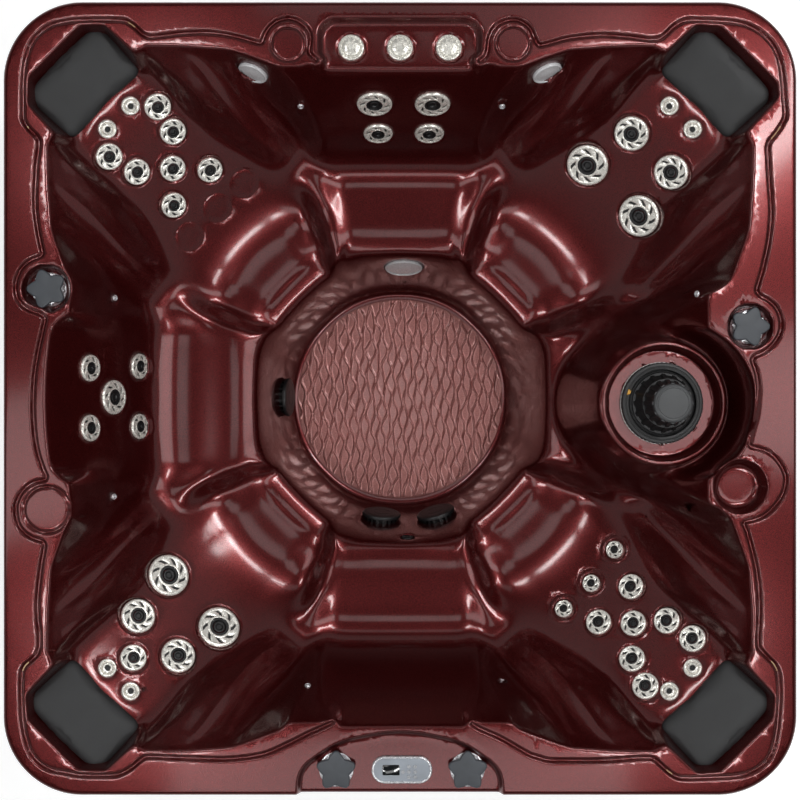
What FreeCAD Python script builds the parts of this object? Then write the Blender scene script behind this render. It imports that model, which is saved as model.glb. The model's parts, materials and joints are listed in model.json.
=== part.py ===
import FreeCAD, Part
import math
import os

V = FreeCAD.Vector
UP = V(0, 0, 1)

# Overall size
TUB_SIDE = 2134.0
TUB_HEIGHT = 914.0
LIP_CORNER_R = 214.0
LIP_DROP = 55.0
SHEET = 9.0
HALF = TUB_SIDE / 2
RIM = TUB_HEIGHT
CORNER_REACH = (HALF - LIP_CORNER_R) * math.sqrt(2) + LIP_CORNER_R

# Depths below the lip
BENCH_DEPTH = 432.0
ARMREST_DEPTH = 402.0
PAN_DEPTH = 482.0
FLOOR_DEPTH = 802.0
BENCH_Z = RIM - BENCH_DEPTH
ARMREST_Z = RIM - ARMREST_DEPTH
PAN_Z = RIM - PAN_DEPTH
FLOOR_Z = RIM - FLOOR_DEPTH

# Footwell
FOOTWELL_RIM = 452.0
FOOTWELL_MID = 404.0
FOOTWELL_FLOOR = 366.0
FOOTWELL_MID_Z = 300.0

# Corner seats, measured along the diagonal from the corner of the lip
SEAT_AXIS = 250.0
PILLOW_LEDGE_BACK = 102.0
PILLOW_LEDGE_FRONT = 272.0
PILLOW_LEDGE_BACK_DROP = 48.0
PILLOW_LEDGE_FRONT_DROP = 112.0
BACK_FOOT = 627.0
BACK_FOOT_DROP = 394.0
PAN_BACK = 761.0
SEAT_COVE = 110.0
SEAT_HALF_WIDTH = 243.0
SEAT_NECK_HALF_WIDTH = 140.0
SEAT_SIDE_DRAFT = 14.0

# Deck fittings wells
KNOB_WELL_R = 60.0
KNOB_WELL_DEPTH = 38.0
CUP_R = 66.0
CUP_DEPTH = 46.0

# Filter plinth
FILTER_X = 738.0
FILTER_Y = -13.0
FILTER_CREST_DROP = 124.0
FILTER_CREST_R = 182.0
FILTER_FOOT_R = 245.0
FILTER_WELL_R = 156.0
FILTER_WELL_DEPTH = 40.0
FILTER_MOAT_R = 206.0
FILTER_MOAT_DEPTH = 58.0


def turned(shape, degrees):
    """Copy of a shape turned about the tub's upright axis."""
    copy = shape.copy()
    copy.rotate(V(0, 0, 0), UP, degrees)
    return copy


def spread(points, distance):
    """Polygon with every side moved outward by a distance (points run anticlockwise)."""
    if distance == 0:
        return list(points)
    count = len(points)
    moved = []
    for i in range(count):
        ax, ay = points[i - 1]
        bx, by = points[i]
        cx, cy = points[(i + 1) % count]
        d1 = math.hypot(bx - ax, by - ay)
        d2 = math.hypot(cx - bx, cy - by)
        n1 = ((by - ay) / d1, -(bx - ax) / d1)
        n2 = ((cy - by) / d2, -(cx - bx) / d2)
        scale = distance / (1 + n1[0] * n2[0] + n1[1] * n2[1])
        moved.append((bx + (n1[0] + n2[0]) * scale, by + (n1[1] + n2[1]) * scale))
    return moved


def rounded_wire(points, cuts, place):
    """Closed wire through a polygon whose corners are arcs, each starting `cut` from the corner."""
    count = len(points)
    edges = []
    previous_end = None
    first_start = None
    for i in range(count):
        p = V(points[i][0], points[i][1], 0)
        a = V(points[i - 1][0], points[i - 1][1], 0) - p
        b = V(points[(i + 1) % count][0], points[(i + 1) % count][1], 0) - p
        a.normalize()
        b.normalize()
        half = a.getAngle(b) / 2
        cut = cuts[i]
        start = p + a * cut
        end = p + b * cut
        bisector = a + b
        bisector.normalize()
        middle = p + bisector * (cut * (1 - math.sin(half)) / math.cos(half))
        if previous_end is not None:
            edges.append(Part.makeLine(place(previous_end), place(start)))
        else:
            first_start = start
        edges.append(Part.Arc(place(start), place(middle), place(end)).toShape())
        previous_end = end
    edges.append(Part.makeLine(place(previous_end), place(first_start)))
    return Part.Wire(edges)


def level_wire(points, cuts, z):
    """Rounded polygon lying at height z."""
    return rounded_wire(points, cuts, lambda p: V(p.x, p.y, z))


def stack(sections, grow=0.0):
    """Ruled solid through (z, points, cuts) sections, spread sideways and lowered by `grow`."""
    lowest = min(section[0] for section in sections)
    wires = []
    for z, points, cuts in sections:
        if z > RIM and grow:
            continue
        level = z - grow if z == lowest else z
        if grow:
            level = min(level, RIM - 2)
        wires.append(level_wire(spread(points, grow), cuts, level))
    return Part.makeLoft(wires, True, True)


def rounded_square(half, corner, z0, z1):
    """Upright prism with a rounded square plan."""
    points = [(half, -half), (half, half), (-half, half), (-half, -half)]
    wire = level_wire(points, [corner] * 4, z0)
    return Part.Face(wire).extrude(V(0, 0, z1 - z0))


def octagon(left, back, right, front, diagonal):
    """Eight-sided plan from the reach of each side and of the diagonals."""
    d = diagonal * math.sqrt(2)
    return [(right, right - d), (right, d - right), (d - back, back), (back - d, back),
            (-left, d - left), (-left, left - d), (front - d, -front), (d - front, -front)]


def upright(x, y, radius, z0, z1):
    """Upright cylinder."""
    return Part.makeCylinder(radius, z1 - z0, V(x, y, z0))


TOP = RIM + 30.0
JOIN_TOLERANCE = 0.01


def footwell(grow):
    sections = []
    for z, reach, roundness in ((ARMREST_Z + 20, FOOTWELL_RIM + 16, 0.32),
                                (BENCH_Z - 22, FOOTWELL_RIM - 6, 0.32),
                                (FOOTWELL_MID_Z, FOOTWELL_MID, 0.7),
                                (FLOOR_Z + 14, FOOTWELL_FLOOR + 8, 0.96),
                                (FLOOR_Z, FOOTWELL_FLOOR, 0.96)):
        cut = reach * math.tan(math.pi / 8) * roundness
        sections.append((z, octagon(reach, reach, reach, reach, reach), [cut] * 8))
    return stack(sections, grow)


def bench(grow, turn, walls):
    """Bench bay: (z, middle reach, side reach, half width at the wall, half width inside)."""
    sections = []
    for z, middle, side, outer, inner in walls:
        points = [(-320, -inner), (-320, inner), (-side, outer), (-middle, 0), (-side, -outer)]
        cuts = [5, 5, 60, outer * 0.62, 60]
        sections.append((z, points, cuts))
    return turned(stack(sections, grow), turn)


LEFT_RIM = HALF - 105
LEFT_WALLS = ((TOP, LEFT_RIM, LEFT_RIM - 28, 222, 215),
              (RIM, LEFT_RIM, LEFT_RIM - 28, 222, 215),
              (BENCH_Z + 42, LEFT_RIM - 196, LEFT_RIM - 208, 258, 205),
              (BENCH_Z + 12, LEFT_RIM - 256, LEFT_RIM - 262, 252, 203),
              (BENCH_Z, LEFT_RIM - 332, LEFT_RIM - 334, 243, 200))
BACK_RIM = HALF - 171
BACK_WALLS = ((TOP, BACK_RIM, BACK_RIM + 4, 300, 215),
              (RIM, BACK_RIM, BACK_RIM + 4, 300, 215),
              (BENCH_Z + 42, BACK_RIM - 162, BACK_RIM - 164, 236, 165),
              (BENCH_Z + 12, BACK_RIM - 198, BACK_RIM - 200, 230, 160),
              (BENCH_Z, BACK_RIM - 244, BACK_RIM - 245, 224, 155))
FRONT_RIM = HALF - 190
FRONT_WALLS = ((TOP, FRONT_RIM, FRONT_RIM + 4, 225, 215),
               (RIM, FRONT_RIM, FRONT_RIM + 4, 225, 215),
               (BENCH_Z + 42, FRONT_RIM - 117, FRONT_RIM - 119, 252, 190),
               (BENCH_Z + 12, FRONT_RIM - 162, FRONT_RIM - 164, 248, 186),
               (BENCH_Z, FRONT_RIM - 212, FRONT_RIM - 213, 242, 180))


def corner_bay(grow, turn):
    """Faceted flanks beside a corner seat, from the lip down to the armrests."""
    c = CORNER_REACH
    high = [(c - 225, 150), (c - 344, 267), (c - 428, 335), (c - 570, 401), (c - 1020, 150)]
    low = [(c - 713, 234), (c - 718, 290), (c - 682, 328), (c - 676, 372), (c - 1020, 150)]
    cuts = [10, 18, 18, 20, 10]
    sections = []
    for z, half in ((TOP, high), (RIM, high), (ARMREST_Z + 10, low)):
        points = [(d, -s) for d, s in reversed(half)] + list(half)
        sections.append((z, points, list(reversed(cuts)) + cuts))
    return turned(stack(sections, grow), turn)


def seat_profile(grow):
    """Side view of a corner seat as (distance from the seat's axis, height)."""
    c = CORNER_REACH - SEAT_AXIS
    points = [(0.0, PAN_Z), (c - PAN_BACK, PAN_Z), (c - BACK_FOOT, RIM - BACK_FOOT_DROP),
              (c - PILLOW_LEDGE_FRONT, RIM - PILLOW_LEDGE_FRONT_DROP),
              (c - PILLOW_LEDGE_BACK, RIM - PILLOW_LEDGE_BACK_DROP),
              (c - PILLOW_LEDGE_BACK + 6, TOP), (0.0, TOP)]
    moved = spread(points, grow)
    top = RIM - 2 if grow else TOP
    moved[0] = (0.0, moved[1][1])
    moved[5] = (moved[5][0], top)
    moved[6] = (0.0, top)
    return moved


def corner_seat(grow, turn):
    """Seat, back and pillow ledge: a turned solid cut to the seat's plan."""
    cuts = [1, SEAT_COVE * 0.55, SEAT_COVE * 0.55, 20, 14, 2, 1]
    wire = rounded_wire(seat_profile(grow), cuts, lambda p: V(p.x, 0, p.y))
    turned_solid = Part.Face(wire).revolve(V(0, 0, 0), UP, 360)
    turned_solid.translate(V(SEAT_AXIS, 0, 0))
    c = CORNER_REACH
    wide = SEAT_HALF_WIDTH
    neck = SEAT_NECK_HALF_WIDTH
    half = [(c - 84, 66), (c - 124, neck - 8), (c - 320, neck + 16), (c - 640, wide - 18),
            (c - 795, wide), (c - 960, 150), (c - 1010, 60)]
    points = [(d, -s) for d, s in reversed(half)] + list(half)
    half_cuts = [28, 30, 80, 70, 70, 40, 40]
    cuts = list(reversed(half_cuts)) + half_cuts
    wide_plan = spread(points, SEAT_SIDE_DRAFT)
    plan = stack(((TOP, wide_plan, cuts), (RIM, wide_plan, cuts), (PAN_Z - 20, points, cuts)), grow)
    return turned(turned_solid.common(plan), turn)


def plinth(shrink):
    """Filter plinth left standing in the basin."""
    crest = RIM - FILTER_CREST_DROP - shrink
    foot = ARMREST_Z - 60
    cone = Part.makeCone(FILTER_FOOT_R - shrink, FILTER_CREST_R - shrink, crest - foot)
    cone.translate(V(FILTER_X, FILTER_Y, foot))
    return cone


def core(grow):
    """Middle of the basin above the armrests, cut round the filter plinth."""
    sections = ((TOP, octagon(HALF - 185, HALF - 175, HALF - 240, HALF - 199, 900), [60] * 8),
                (RIM, octagon(HALF - 185, HALF - 175, HALF - 240, HALF - 199, 900), [60] * 8),
                (RIM - 214, octagon(HALF - 222, HALF - 268, HALF - 320, HALF - 262, 860), [60] * 8),
                (ARMREST_Z + 28, octagon(HALF - 312, HALF - 340, HALF - 440, HALF - 324, 760), [60] * 8),
                (ARMREST_Z, octagon(HALF - 347, HALF - 364, HALF - 480, HALF - 352, 730), [60] * 8))
    return stack(sections, grow).cut(plinth(grow))


def filter_moat(grow):
    floor = RIM - FILTER_CREST_DROP - FILTER_MOAT_DEPTH
    top = RIM - 2 if grow else TOP
    crest = RIM - FILTER_CREST_DROP
    moat = upright(FILTER_X, FILTER_Y, FILTER_MOAT_R + grow, floor - grow, top)
    inside = upright(FILTER_X, FILTER_Y, FILTER_CREST_R - grow, floor - grow - 1, crest - grow)
    well = upright(FILTER_X, FILTER_Y, FILTER_WELL_R + grow, crest - FILTER_WELL_DEPTH - grow, top)
    return moat.cut(inside).fuse(well)


KNOB_LEFT = (-HALF + 117, 295.0)
KNOB_RIGHT = (HALF - 126, 194.0)
CUP_PLACE = (HALF - 153, -237.0)
BLANK_LEFT = (-HALF + 119, -298.0)
BLANK_BACK = ((-303.0, HALF - 114), (300.0, HALF - 114))


def wells(grow):
    """Knob wells and the cup holder sunk in the deck."""
    top = RIM - 2 if grow else TOP
    shapes = []
    for (x, y), radius, depth in ((KNOB_LEFT, KNOB_WELL_R, KNOB_WELL_DEPTH),
                                  (KNOB_RIGHT, KNOB_WELL_R - 4, KNOB_WELL_DEPTH),
                                  (CUP_PLACE, CUP_R, CUP_DEPTH)):
        shapes.append(upright(x, y, radius + grow, RIM - depth - grow, top))
    return shapes


SHELF_HALF = 209.0
SHELF_BACK = HALF - 55
SHELF_DROP = 26.0
CONSOLE_HALF = 270.0
CONSOLE_DROP = 22.0
CONSOLE_BACK = HALF - 174
CONSOLE_FLARE = 4.0


def shelf(grow):
    """Recess for the cascade jets at the back, open to the basin."""
    front = BACK_RIM - 30
    points = [(SHELF_HALF, front), (SHELF_HALF, SHELF_BACK), (-SHELF_HALF, SHELF_BACK),
              (-SHELF_HALF, front)]
    wide = spread(points, 12)
    wide[0] = (wide[0][0], front)
    wide[3] = (wide[3][0], front)
    cuts = [8, 44, 44, 8]
    return stack(((TOP, wide, cuts), (RIM, wide, cuts), (RIM - SHELF_DROP, points, cuts)), grow)


def console(grow):
    """Arched platform at the front that runs out through the lip."""
    outer = HALF - SHEET - CONSOLE_FLARE if grow else HALF + 40
    half = [(0.0, -CONSOLE_BACK), (-165.0, -CONSOLE_BACK - 32), (-CONSOLE_HALF, -CONSOLE_BACK - 106),
            (-CONSOLE_HALF, -outer)]
    points = half + [(-x, y) for x, y in reversed(half[1:])]
    cuts = [70, 50, 40, 4, 4, 40, 50]
    wide = spread(points, CONSOLE_FLARE)
    return stack(((TOP, wide, cuts), (RIM, wide, cuts), (RIM - CONSOLE_DROP, points, cuts)), grow)


def cavities(grow):
    """Every hollow of the shell as a list of solids."""
    shapes = [footwell(grow), core(grow), filter_moat(grow), shelf(grow), console(grow)]
    shapes.append(bench(grow, 0, LEFT_WALLS))
    shapes.append(bench(grow, -90, BACK_WALLS))
    shapes.append(bench(grow, 90, FRONT_WALLS))
    for turn in (45, 135, 225, 315):
        shapes.append(corner_bay(grow, turn))
        shapes.append(corner_seat(grow, turn))
    return shapes + wells(grow)


def raw_shell():
    """Thermoformed sheet before its fittings' holes."""
    lip = rounded_square(HALF, LIP_CORNER_R, RIM - LIP_DROP, RIM)
    inside = rounded_square(HALF - SHEET, LIP_CORNER_R - SHEET, RIM - LIP_DROP - 1, RIM - SHEET)
    body = lip.cut(inside).multiFuse(cavities(SHEET), JOIN_TOLERANCE)
    hollows = cavities(0.0)
    hollow = hollows[0].multiFuse(hollows[1:], JOIN_TOLERANCE)
    return body.cut([hollow], JOIN_TOLERANCE).Solids[0]


# Deck groove
GROOVE_WIDTH = 11.0
GROOVE_DEPTH = 5.0
DECK_LINE_INSET = 88.0
DECK_LINE_WAIST = 110.0
CORNER_LINE_INSET = 56.0
CORNER_LINE_REACH = 380.0
POD_LINE_R = 83.0
BLANK_R = 51.0
BLANK_BACK_R = 42.0
BLANK_RING = 8.0


def deck_line():
    """Plan inside the deck's groove: a waisted square, corner lobes and the pods."""
    inset = HALF - DECK_LINE_INSET
    waist = HALF - DECK_LINE_WAIST
    side = [(inset, -600.0), (waist, -330.0), (inset + 4, 0.0), (waist, 330.0), (inset, 600.0)]
    points = []
    for quarter in range(4):
        c = math.cos(quarter * math.pi / 2)
        n = math.sin(quarter * math.pi / 2)
        points += [(x * c - y * n, x * n + y * c) for x, y in side]
    plan = Part.Face(level_wire(points, [90, 90, 110, 90, 90] * 4, 0))
    far = HALF - CORNER_LINE_INSET
    near = HALF - CORNER_LINE_REACH
    lobe_points = [(near, near), (far, near), (far, far), (near, far)]
    lobe = Part.Face(level_wire(lobe_points, [10, 26, LIP_CORNER_R - CORNER_LINE_INSET, 26], 0))
    faces = [turned(lobe, quarter * 90) for quarter in range(4)]
    pods = [(KNOB_LEFT, POD_LINE_R), (KNOB_RIGHT, POD_LINE_R), (BLANK_LEFT, POD_LINE_R),
            (CUP_PLACE, POD_LINE_R + 8)]
    pods += [(place, BLANK_BACK_R + 24) for place in BLANK_BACK]
    for (x, y), radius in pods:
        faces.append(Part.Face(Part.Wire(Part.makeCircle(radius, V(x, y, 0)))))
    return plan.multiFuse(faces).removeSplitter().Faces[0]


def groove():
    """Groove cut in the deck, stopped short of the shelf and the console."""
    plan = deck_line()
    outer = plan.makeOffset2D(GROOVE_WIDTH / 2)
    inner = plan.makeOffset2D(-GROOVE_WIDTH / 2)
    ring = outer.cut(inner).extrude(V(0, 0, GROOVE_DEPTH + 5))
    ring.translate(V(0, 0, RIM - GROOVE_DEPTH))
    shelf_gap = Part.makeBox(2 * SHELF_HALF + 90, 400, 100, V(-SHELF_HALF - 45, HALF - 250, RIM - 50))
    gap_corner = V(-CONSOLE_HALF - 30, 150 - HALF - 300, RIM - 50)
    console_gap = Part.makeBox(2 * CONSOLE_HALF + 60, 400, 100, gap_corner)
    return ring.cut(shelf_gap.fuse(console_gap))


def blank_rings():
    """Ring grooves of the deck's blank pods."""
    rings = []
    for (x, y), radius in [(BLANK_LEFT, BLANK_R)] + [(place, BLANK_BACK_R) for place in BLANK_BACK]:
        ring = upright(x, y, radius + BLANK_RING, RIM - GROOVE_DEPTH, TOP)
        rings.append(ring.cut(upright(x, y, radius, RIM - GROOVE_DEPTH, TOP)))
    return rings


# Fittings: places on the corner seats are (distance in from the corner, sideways)
POCKET = 3.0
POCKET_GAP = 2.0
SEAT_BACK_LEFT = 135
SEAT_BACK_RIGHT = 45
SEAT_FRONT_LEFT = 225
SEAT_FRONT_RIGHT = 315
BIG_JET_R = 62.0
MID_JET_R = 50.0
LOW_JET_R = 43.0
CLUSTER_JET_R = 38.0
MINI_JET_R = 27.0
NECK_JET_R = 26.0
CASCADE_JET_R = 35.0
PAD_R = 47.0
PAD_DEPTH = 2.5
NECK_IN = 306.0
NECK_SIDE = 46.0
LARGE_ON_SEATS = {
    "back_right_1": (SEAT_BACK_RIGHT, 411, 68, MID_JET_R),
    "back_right_2": (SEAT_BACK_RIGHT, 539, 96, BIG_JET_R),
    "back_right_3": (SEAT_BACK_RIGHT, 410, -91, MID_JET_R),
    "back_right_4": (SEAT_BACK_RIGHT, 538, -118, BIG_JET_R),
    "front_left_1": (SEAT_FRONT_LEFT, 562, -115, BIG_JET_R),
    "front_left_2": (SEAT_FRONT_LEFT, 559, 100, BIG_JET_R),
    "front_left_3": (SEAT_FRONT_LEFT, 440, -91, MID_JET_R),
    "front_left_4": (SEAT_FRONT_LEFT, 440, 72, MID_JET_R),
}
LARGE_ON_WALLS = {
    "back_wall_1": (-72.0, HALF - 237, MID_JET_R),
    "back_wall_2": (92.0, HALF - 237, MID_JET_R),
    "left_wall": (-HALF + 237, 4.0, MID_JET_R),
}
CLUSTER_ON_SEATS = (
    (SEAT_BACK_LEFT, 351, -99), (SEAT_BACK_LEFT, 415, -81), (SEAT_BACK_LEFT, 353, 98),
    (SEAT_BACK_LEFT, 422, 74), (SEAT_BACK_LEFT, 475, -6), (SEAT_BACK_LEFT, 542, -81),
    (SEAT_BACK_LEFT, 540, 69), (SEAT_FRONT_LEFT, 363, -15), (SEAT_FRONT_RIGHT, 542, 90),
    (SEAT_FRONT_RIGHT, 536, -52), (SEAT_FRONT_RIGHT, 474, 18), (SEAT_FRONT_RIGHT, 424, 91),
    (SEAT_FRONT_RIGHT, 354, 105), (SEAT_FRONT_RIGHT, 418, -57), (SEAT_FRONT_RIGHT, 353, -84),
)
CLUSTER_ON_WALLS = (
    (-HALF + 194, 86.0, CLUSTER_JET_R), (-HALF + 288, 97.0, CLUSTER_JET_R),
    (-HALF + 194, -83.0, CLUSTER_JET_R), (-HALF + 288, -83.0, CLUSTER_JET_R),
    (-64.0, HALF - 290, LOW_JET_R), (86.0, HALF - 290, LOW_JET_R),
)
MINI_ON_SEATS = ((SEAT_FRONT_RIGHT, 638, 136), (SEAT_FRONT_RIGHT, 617, 14), (SEAT_FRONT_RIGHT, 622, -99))
PADS_ON_SEATS = ((SEAT_BACK_LEFT, 628, -125), (SEAT_BACK_LEFT, 619, -16), (SEAT_BACK_LEFT, 624, 106))
CASCADE_X = (-132.0, 0.0, 132.0)
CASCADE_Y = HALF - 118


def on_seat(turn, inward, sideways):
    """Plan point of a place on a corner seat."""
    angle = math.radians(turn)
    along = CORNER_REACH - inward
    return (along * math.cos(angle) - sideways * math.sin(angle),
            along * math.sin(angle) + sideways * math.cos(angle))


class Seats:
    """Finds where fittings sit on the shell's upper side."""

    def __init__(self, shell):
        self.faces = [(face, face.BoundBox) for face in shell.Faces]

    def at(self, x, y):
        """Highest point of the surface at a plan point, and the outward normal there."""
        line = Part.Line(V(x, y, RIM + 20), V(x, y, 0))
        best = None
        for face, box in self.faces:
            if not (box.XMin - 1 < x < box.XMax + 1 and box.YMin - 1 < y < box.YMax + 1):
                continue
            for hit in line.intersect(face.Surface)[0]:
                point = V(hit.X, hit.Y, hit.Z)
                if face.isInside(point, 0.01, True) and (best is None or point.z > best[0].z):
                    best = (point, face)
        point, face = best
        normal = face.normalAt(*face.Surface.parameter(point))
        return point, normal if normal.z > 0 else normal * -1


def placed(shape, seat, lift=0.0):
    """Copy of a shape built along +Z, set on a seat with +Z along its normal."""
    point, normal = seat
    copy = shape.copy()
    turn = FreeCAD.Rotation(UP, normal)
    copy.Placement = FreeCAD.Placement(point + normal * lift, turn)
    return copy


def drum(radius, z0, z1):
    """Cylinder on the local axis."""
    return Part.makeCylinder(radius, z1 - z0, V(0, 0, z0))

# Jets
HOLE_SHARE = 0.6
NOZZLE_SHARE = 0.28
SLIP = 0.3
RUNNING_FIT = 0.05
JET_FACE = 7.0
JET_BORE_DEPTH = 20.0
JET_BODY = 60.0
JET_BEVEL = 5.0
JET_WINDOWS = 6
TUBE_WALL = 4.0


def bevelled(radius, z0, z1, bevel):
    """Disc with a bevelled upper edge."""
    disc = drum(radius, z0, z1 - bevel / 2)
    return disc.fuse(Part.makeCone(radius, radius - bevel, bevel / 2, V(0, 0, z1 - bevel / 2)))


def windows(inner, outer, width, z0, z1, count):
    """Ring of radial slots."""
    slot = Part.makeBox(outer - inner, width, z1 - z0, V(inner, -width / 2, z0))
    return [turned(slot, 360.0 * i / count) for i in range(count)]


def large_face(radius):
    """Turning face of a large jet with its sleeve."""
    hole = radius * HOLE_SHARE
    nozzle = radius * NOZZLE_SHARE
    face = bevelled(radius, SLIP, SLIP + JET_FACE, JET_BEVEL)
    sleeve = drum(hole - TUBE_WALL - RUNNING_FIT, 2 - JET_BORE_DEPTH, SLIP)
    face = face.fuse(sleeve).cut(drum(nozzle + 2 * SLIP, -JET_BORE_DEPTH, 2 * JET_FACE))
    slots = windows(nozzle + 5, radius - 9, radius * 0.2, 3.5, 2 * JET_FACE, JET_WINDOWS)
    return face.cut(slots).removeSplitter()


def large_body(radius):
    """Jet body behind the shell, with the bore that the face turns in."""
    hole = radius * HOLE_SHARE
    body = drum(hole - 0.2, -JET_BODY, -0.6).fuse(drum(hole + 5, -30, -17))
    return body.cut(drum(hole - TUBE_WALL, -JET_BORE_DEPTH, 1)).removeSplitter()


def nozzle_solid(radius, foot):
    """Black nozzle with its orifice."""
    return drum(radius, foot, JET_FACE - 1).cut(drum(radius * 0.5, JET_FACE - 9, JET_FACE))


def small_bezel(radius, share):
    """Fixed bezel of a small jet with the hub that passes through the shell."""
    hole = radius * HOLE_SHARE
    bezel = bevelled(radius, 0, JET_FACE, JET_BEVEL).fuse(drum(hole - 0.2, -18, 0))
    if not share:
        return bezel.removeSplitter()
    nozzle = radius * share
    slots = windows(nozzle + 4, radius - 7, radius * 0.2, 3.5, 2 * JET_FACE, JET_WINDOWS)
    return bezel.cut([drum(nozzle, -20, 2 * JET_FACE)] + slots).removeSplitter()


def small_body(radius):
    """Jet body behind a small jet."""
    return drum(radius * HOLE_SHARE + 3, -48, -18)


class Tub:
    """Collects the nodes and the cuts that the fittings make in the shell."""

    def __init__(self):
        self.sheet = raw_shell()
        self.seats = Seats(self.sheet)
        self.tools = [groove()] + blank_rings()
        self.nodes = {}
        self.groups = {}

    def add(self, name, shape):
        self.nodes[name] = shape

    def group(self, name, shape):
        self.groups.setdefault(name, []).append(shape)

    def pocket(self, seat, radius, depth, hole, pad=0):
        """Flat pocket and through hole for a round fitting; gives the seat on the pocket's floor."""
        point, normal = seat
        floor = (point - normal * depth, normal)
        tool = drum(radius + POCKET_GAP, 0, 60)
        if hole:
            tool = tool.fuse(drum(hole, -40, 1))
        if pad:
            tool = tool.fuse(drum(pad, depth - PAD_DEPTH, 60))
        self.tools.append(placed(tool, floor))
        return floor

    def large_jet(self, name, x, y, radius):
        floor = self.pocket(self.seats.at(x, y), radius, POCKET, radius * HOLE_SHARE)
        self.add("jet_face_" + name, placed(large_face(radius), floor))
        self.group("jet_bodies", placed(large_body(radius), floor))
        nozzle = nozzle_solid(radius * NOZZLE_SHARE, -JET_BORE_DEPTH)
        self.group("jet_nozzles", placed(nozzle, floor))

    def small_jet(self, node, x, y, radius, share, pad=0):
        floor = self.pocket(self.seats.at(x, y), radius, POCKET, radius * HOLE_SHARE, pad)
        self.group(node, placed(small_bezel(radius, share), floor))
        self.group("jet_bodies", placed(small_body(radius), floor))
        if share:
            self.group("jet_nozzles", placed(nozzle_solid(radius * share - 0.1, -18), floor))

    def lens(self, node, x, y, radius, depth, back, thick):
        """Round lens or cover with a stub through the shell."""
        floor = self.pocket(self.seats.at(x, y), radius, depth, back + 0.2)
        shape = bevelled(radius, 0, thick, min(thick, 6.0)).fuse(drum(back, -26, 0))
        self.group(node, placed(shape.removeSplitter(), floor))


def jets(tub):
    for name, (turn, inward, sideways, radius) in LARGE_ON_SEATS.items():
        x, y = on_seat(turn, inward, sideways)
        tub.large_jet(name, x, y, radius)
    for name, (x, y, radius) in LARGE_ON_WALLS.items():
        tub.large_jet(name, x, y, radius)
    for place in PADS_ON_SEATS:
        tub.pocket(tub.seats.at(*on_seat(*place)), PAD_R, PAD_DEPTH, 0)
    for place in CLUSTER_ON_SEATS:
        tub.small_jet("cluster_jet_bezels", *on_seat(*place), CLUSTER_JET_R, NOZZLE_SHARE)
    for x, y, radius in CLUSTER_ON_WALLS:
        tub.small_jet("cluster_jet_bezels", x, y, radius, NOZZLE_SHARE)
    for place in MINI_ON_SEATS:
        tub.small_jet("cluster_jet_bezels", *on_seat(*place), MINI_JET_R, NOZZLE_SHARE, PAD_R)
    for turn in (SEAT_BACK_LEFT, SEAT_BACK_RIGHT, SEAT_FRONT_LEFT, SEAT_FRONT_RIGHT):
        for sideways in (-NECK_SIDE, NECK_SIDE):
            tub.small_jet("neck_jets", *on_seat(turn, NECK_IN, sideways), NECK_JET_R, 0)
    for x in CASCADE_X:
        tub.small_jet("cascade_jets", x, CASCADE_Y, CASCADE_JET_R, 0)


# Footwell fittings and lights
SUCTION_PLACES = ((-386.0, 5.0), (-62.0, -393.0), (120.0, -386.0))
SUCTION_R = 62.0
SUCTION_HUB_R = 44.0
SUCTION_STAND = 14.0
SUCTION_CAP = 13.0
SUCTION_PIPE_R = 26.0
FOOTWELL_LIGHT = (12.0, 416.0)
WALL_LIGHTS = ((-405.0, HALF - 171), (405.0, HALF - 171))
POINT_LIGHTS = ((-280.0, HALF - 243), (288.0, HALF - 243), (-HALF + 240, 292.0), (-HALF + 238, -284.0),
                (-262.0, -HALF + 252), (297.0, -HALF + 252), (HALF - 258, 285.0), (HALF - 244, -308.0))
DRAIN_PLACE = (23.0, -433.0)


def footwell_fittings(tub):
    for x, y in SUCTION_PLACES:
        floor = tub.pocket(tub.seats.at(x, y), SUCTION_HUB_R, POCKET, SUCTION_PIPE_R + 0.2)
        cover = drum(SUCTION_HUB_R, 0, SUCTION_STAND + 1)
        cover = cover.fuse(bevelled(SUCTION_R, SUCTION_STAND, SUCTION_STAND + SUCTION_CAP, 10))
        cover = cover.fuse(drum(SUCTION_PIPE_R, -40, 0)).removeSplitter()
        ports = windows(SUCTION_HUB_R - 8, SUCTION_HUB_R + 6, 9, 3, SUCTION_STAND - 2, 12)
        tub.group("suction_covers", placed(cover.cut(ports), floor))
    tub.lens("footwell_light", *FOOTWELL_LIGHT, 60, POCKET, 40, 7)
    for place in WALL_LIGHTS:
        tub.lens("wall_lights", *place, 42, POCKET, 20, 9)
    for place in POINT_LIGHTS:
        tub.lens("point_lights", *place, 9, 1, 5, 4)
    tub.lens("drain_grille", *DRAIN_PLACE, 19, 1, 10, 4)


# Pillows
PILLOW_HALF_WIDTH = 122.0
PILLOW_FRONT = 268.0
PILLOW_BACK = 124.0
PILLOW_BULGE = 16.0
PILLOW_THICK = 33.0
PILLOW_CLEAR = 0.3
PILLOW_NAMES = {"back_left": SEAT_BACK_LEFT, "back_right": SEAT_BACK_RIGHT,
                "front_left": SEAT_FRONT_LEFT, "front_right": SEAT_FRONT_RIGHT}


def ledge_place(turn):
    """Placement on the middle of a pillow ledge: local X runs outward, local Z is its normal."""
    run = PILLOW_LEDGE_FRONT - PILLOW_LEDGE_BACK
    rise = PILLOW_LEDGE_FRONT_DROP - PILLOW_LEDGE_BACK_DROP
    middle = (PILLOW_LEDGE_FRONT + PILLOW_LEDGE_BACK) / 2
    drop = (PILLOW_LEDGE_FRONT_DROP + PILLOW_LEDGE_BACK_DROP) / 2
    tilt = FreeCAD.Rotation(V(0, 1, 0), -math.degrees(math.atan2(rise, run)))
    swing = FreeCAD.Rotation(UP, turn)
    return FreeCAD.Placement(swing.multVec(V(CORNER_REACH - middle, 0, RIM - drop)), swing.multiply(tilt))


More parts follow.
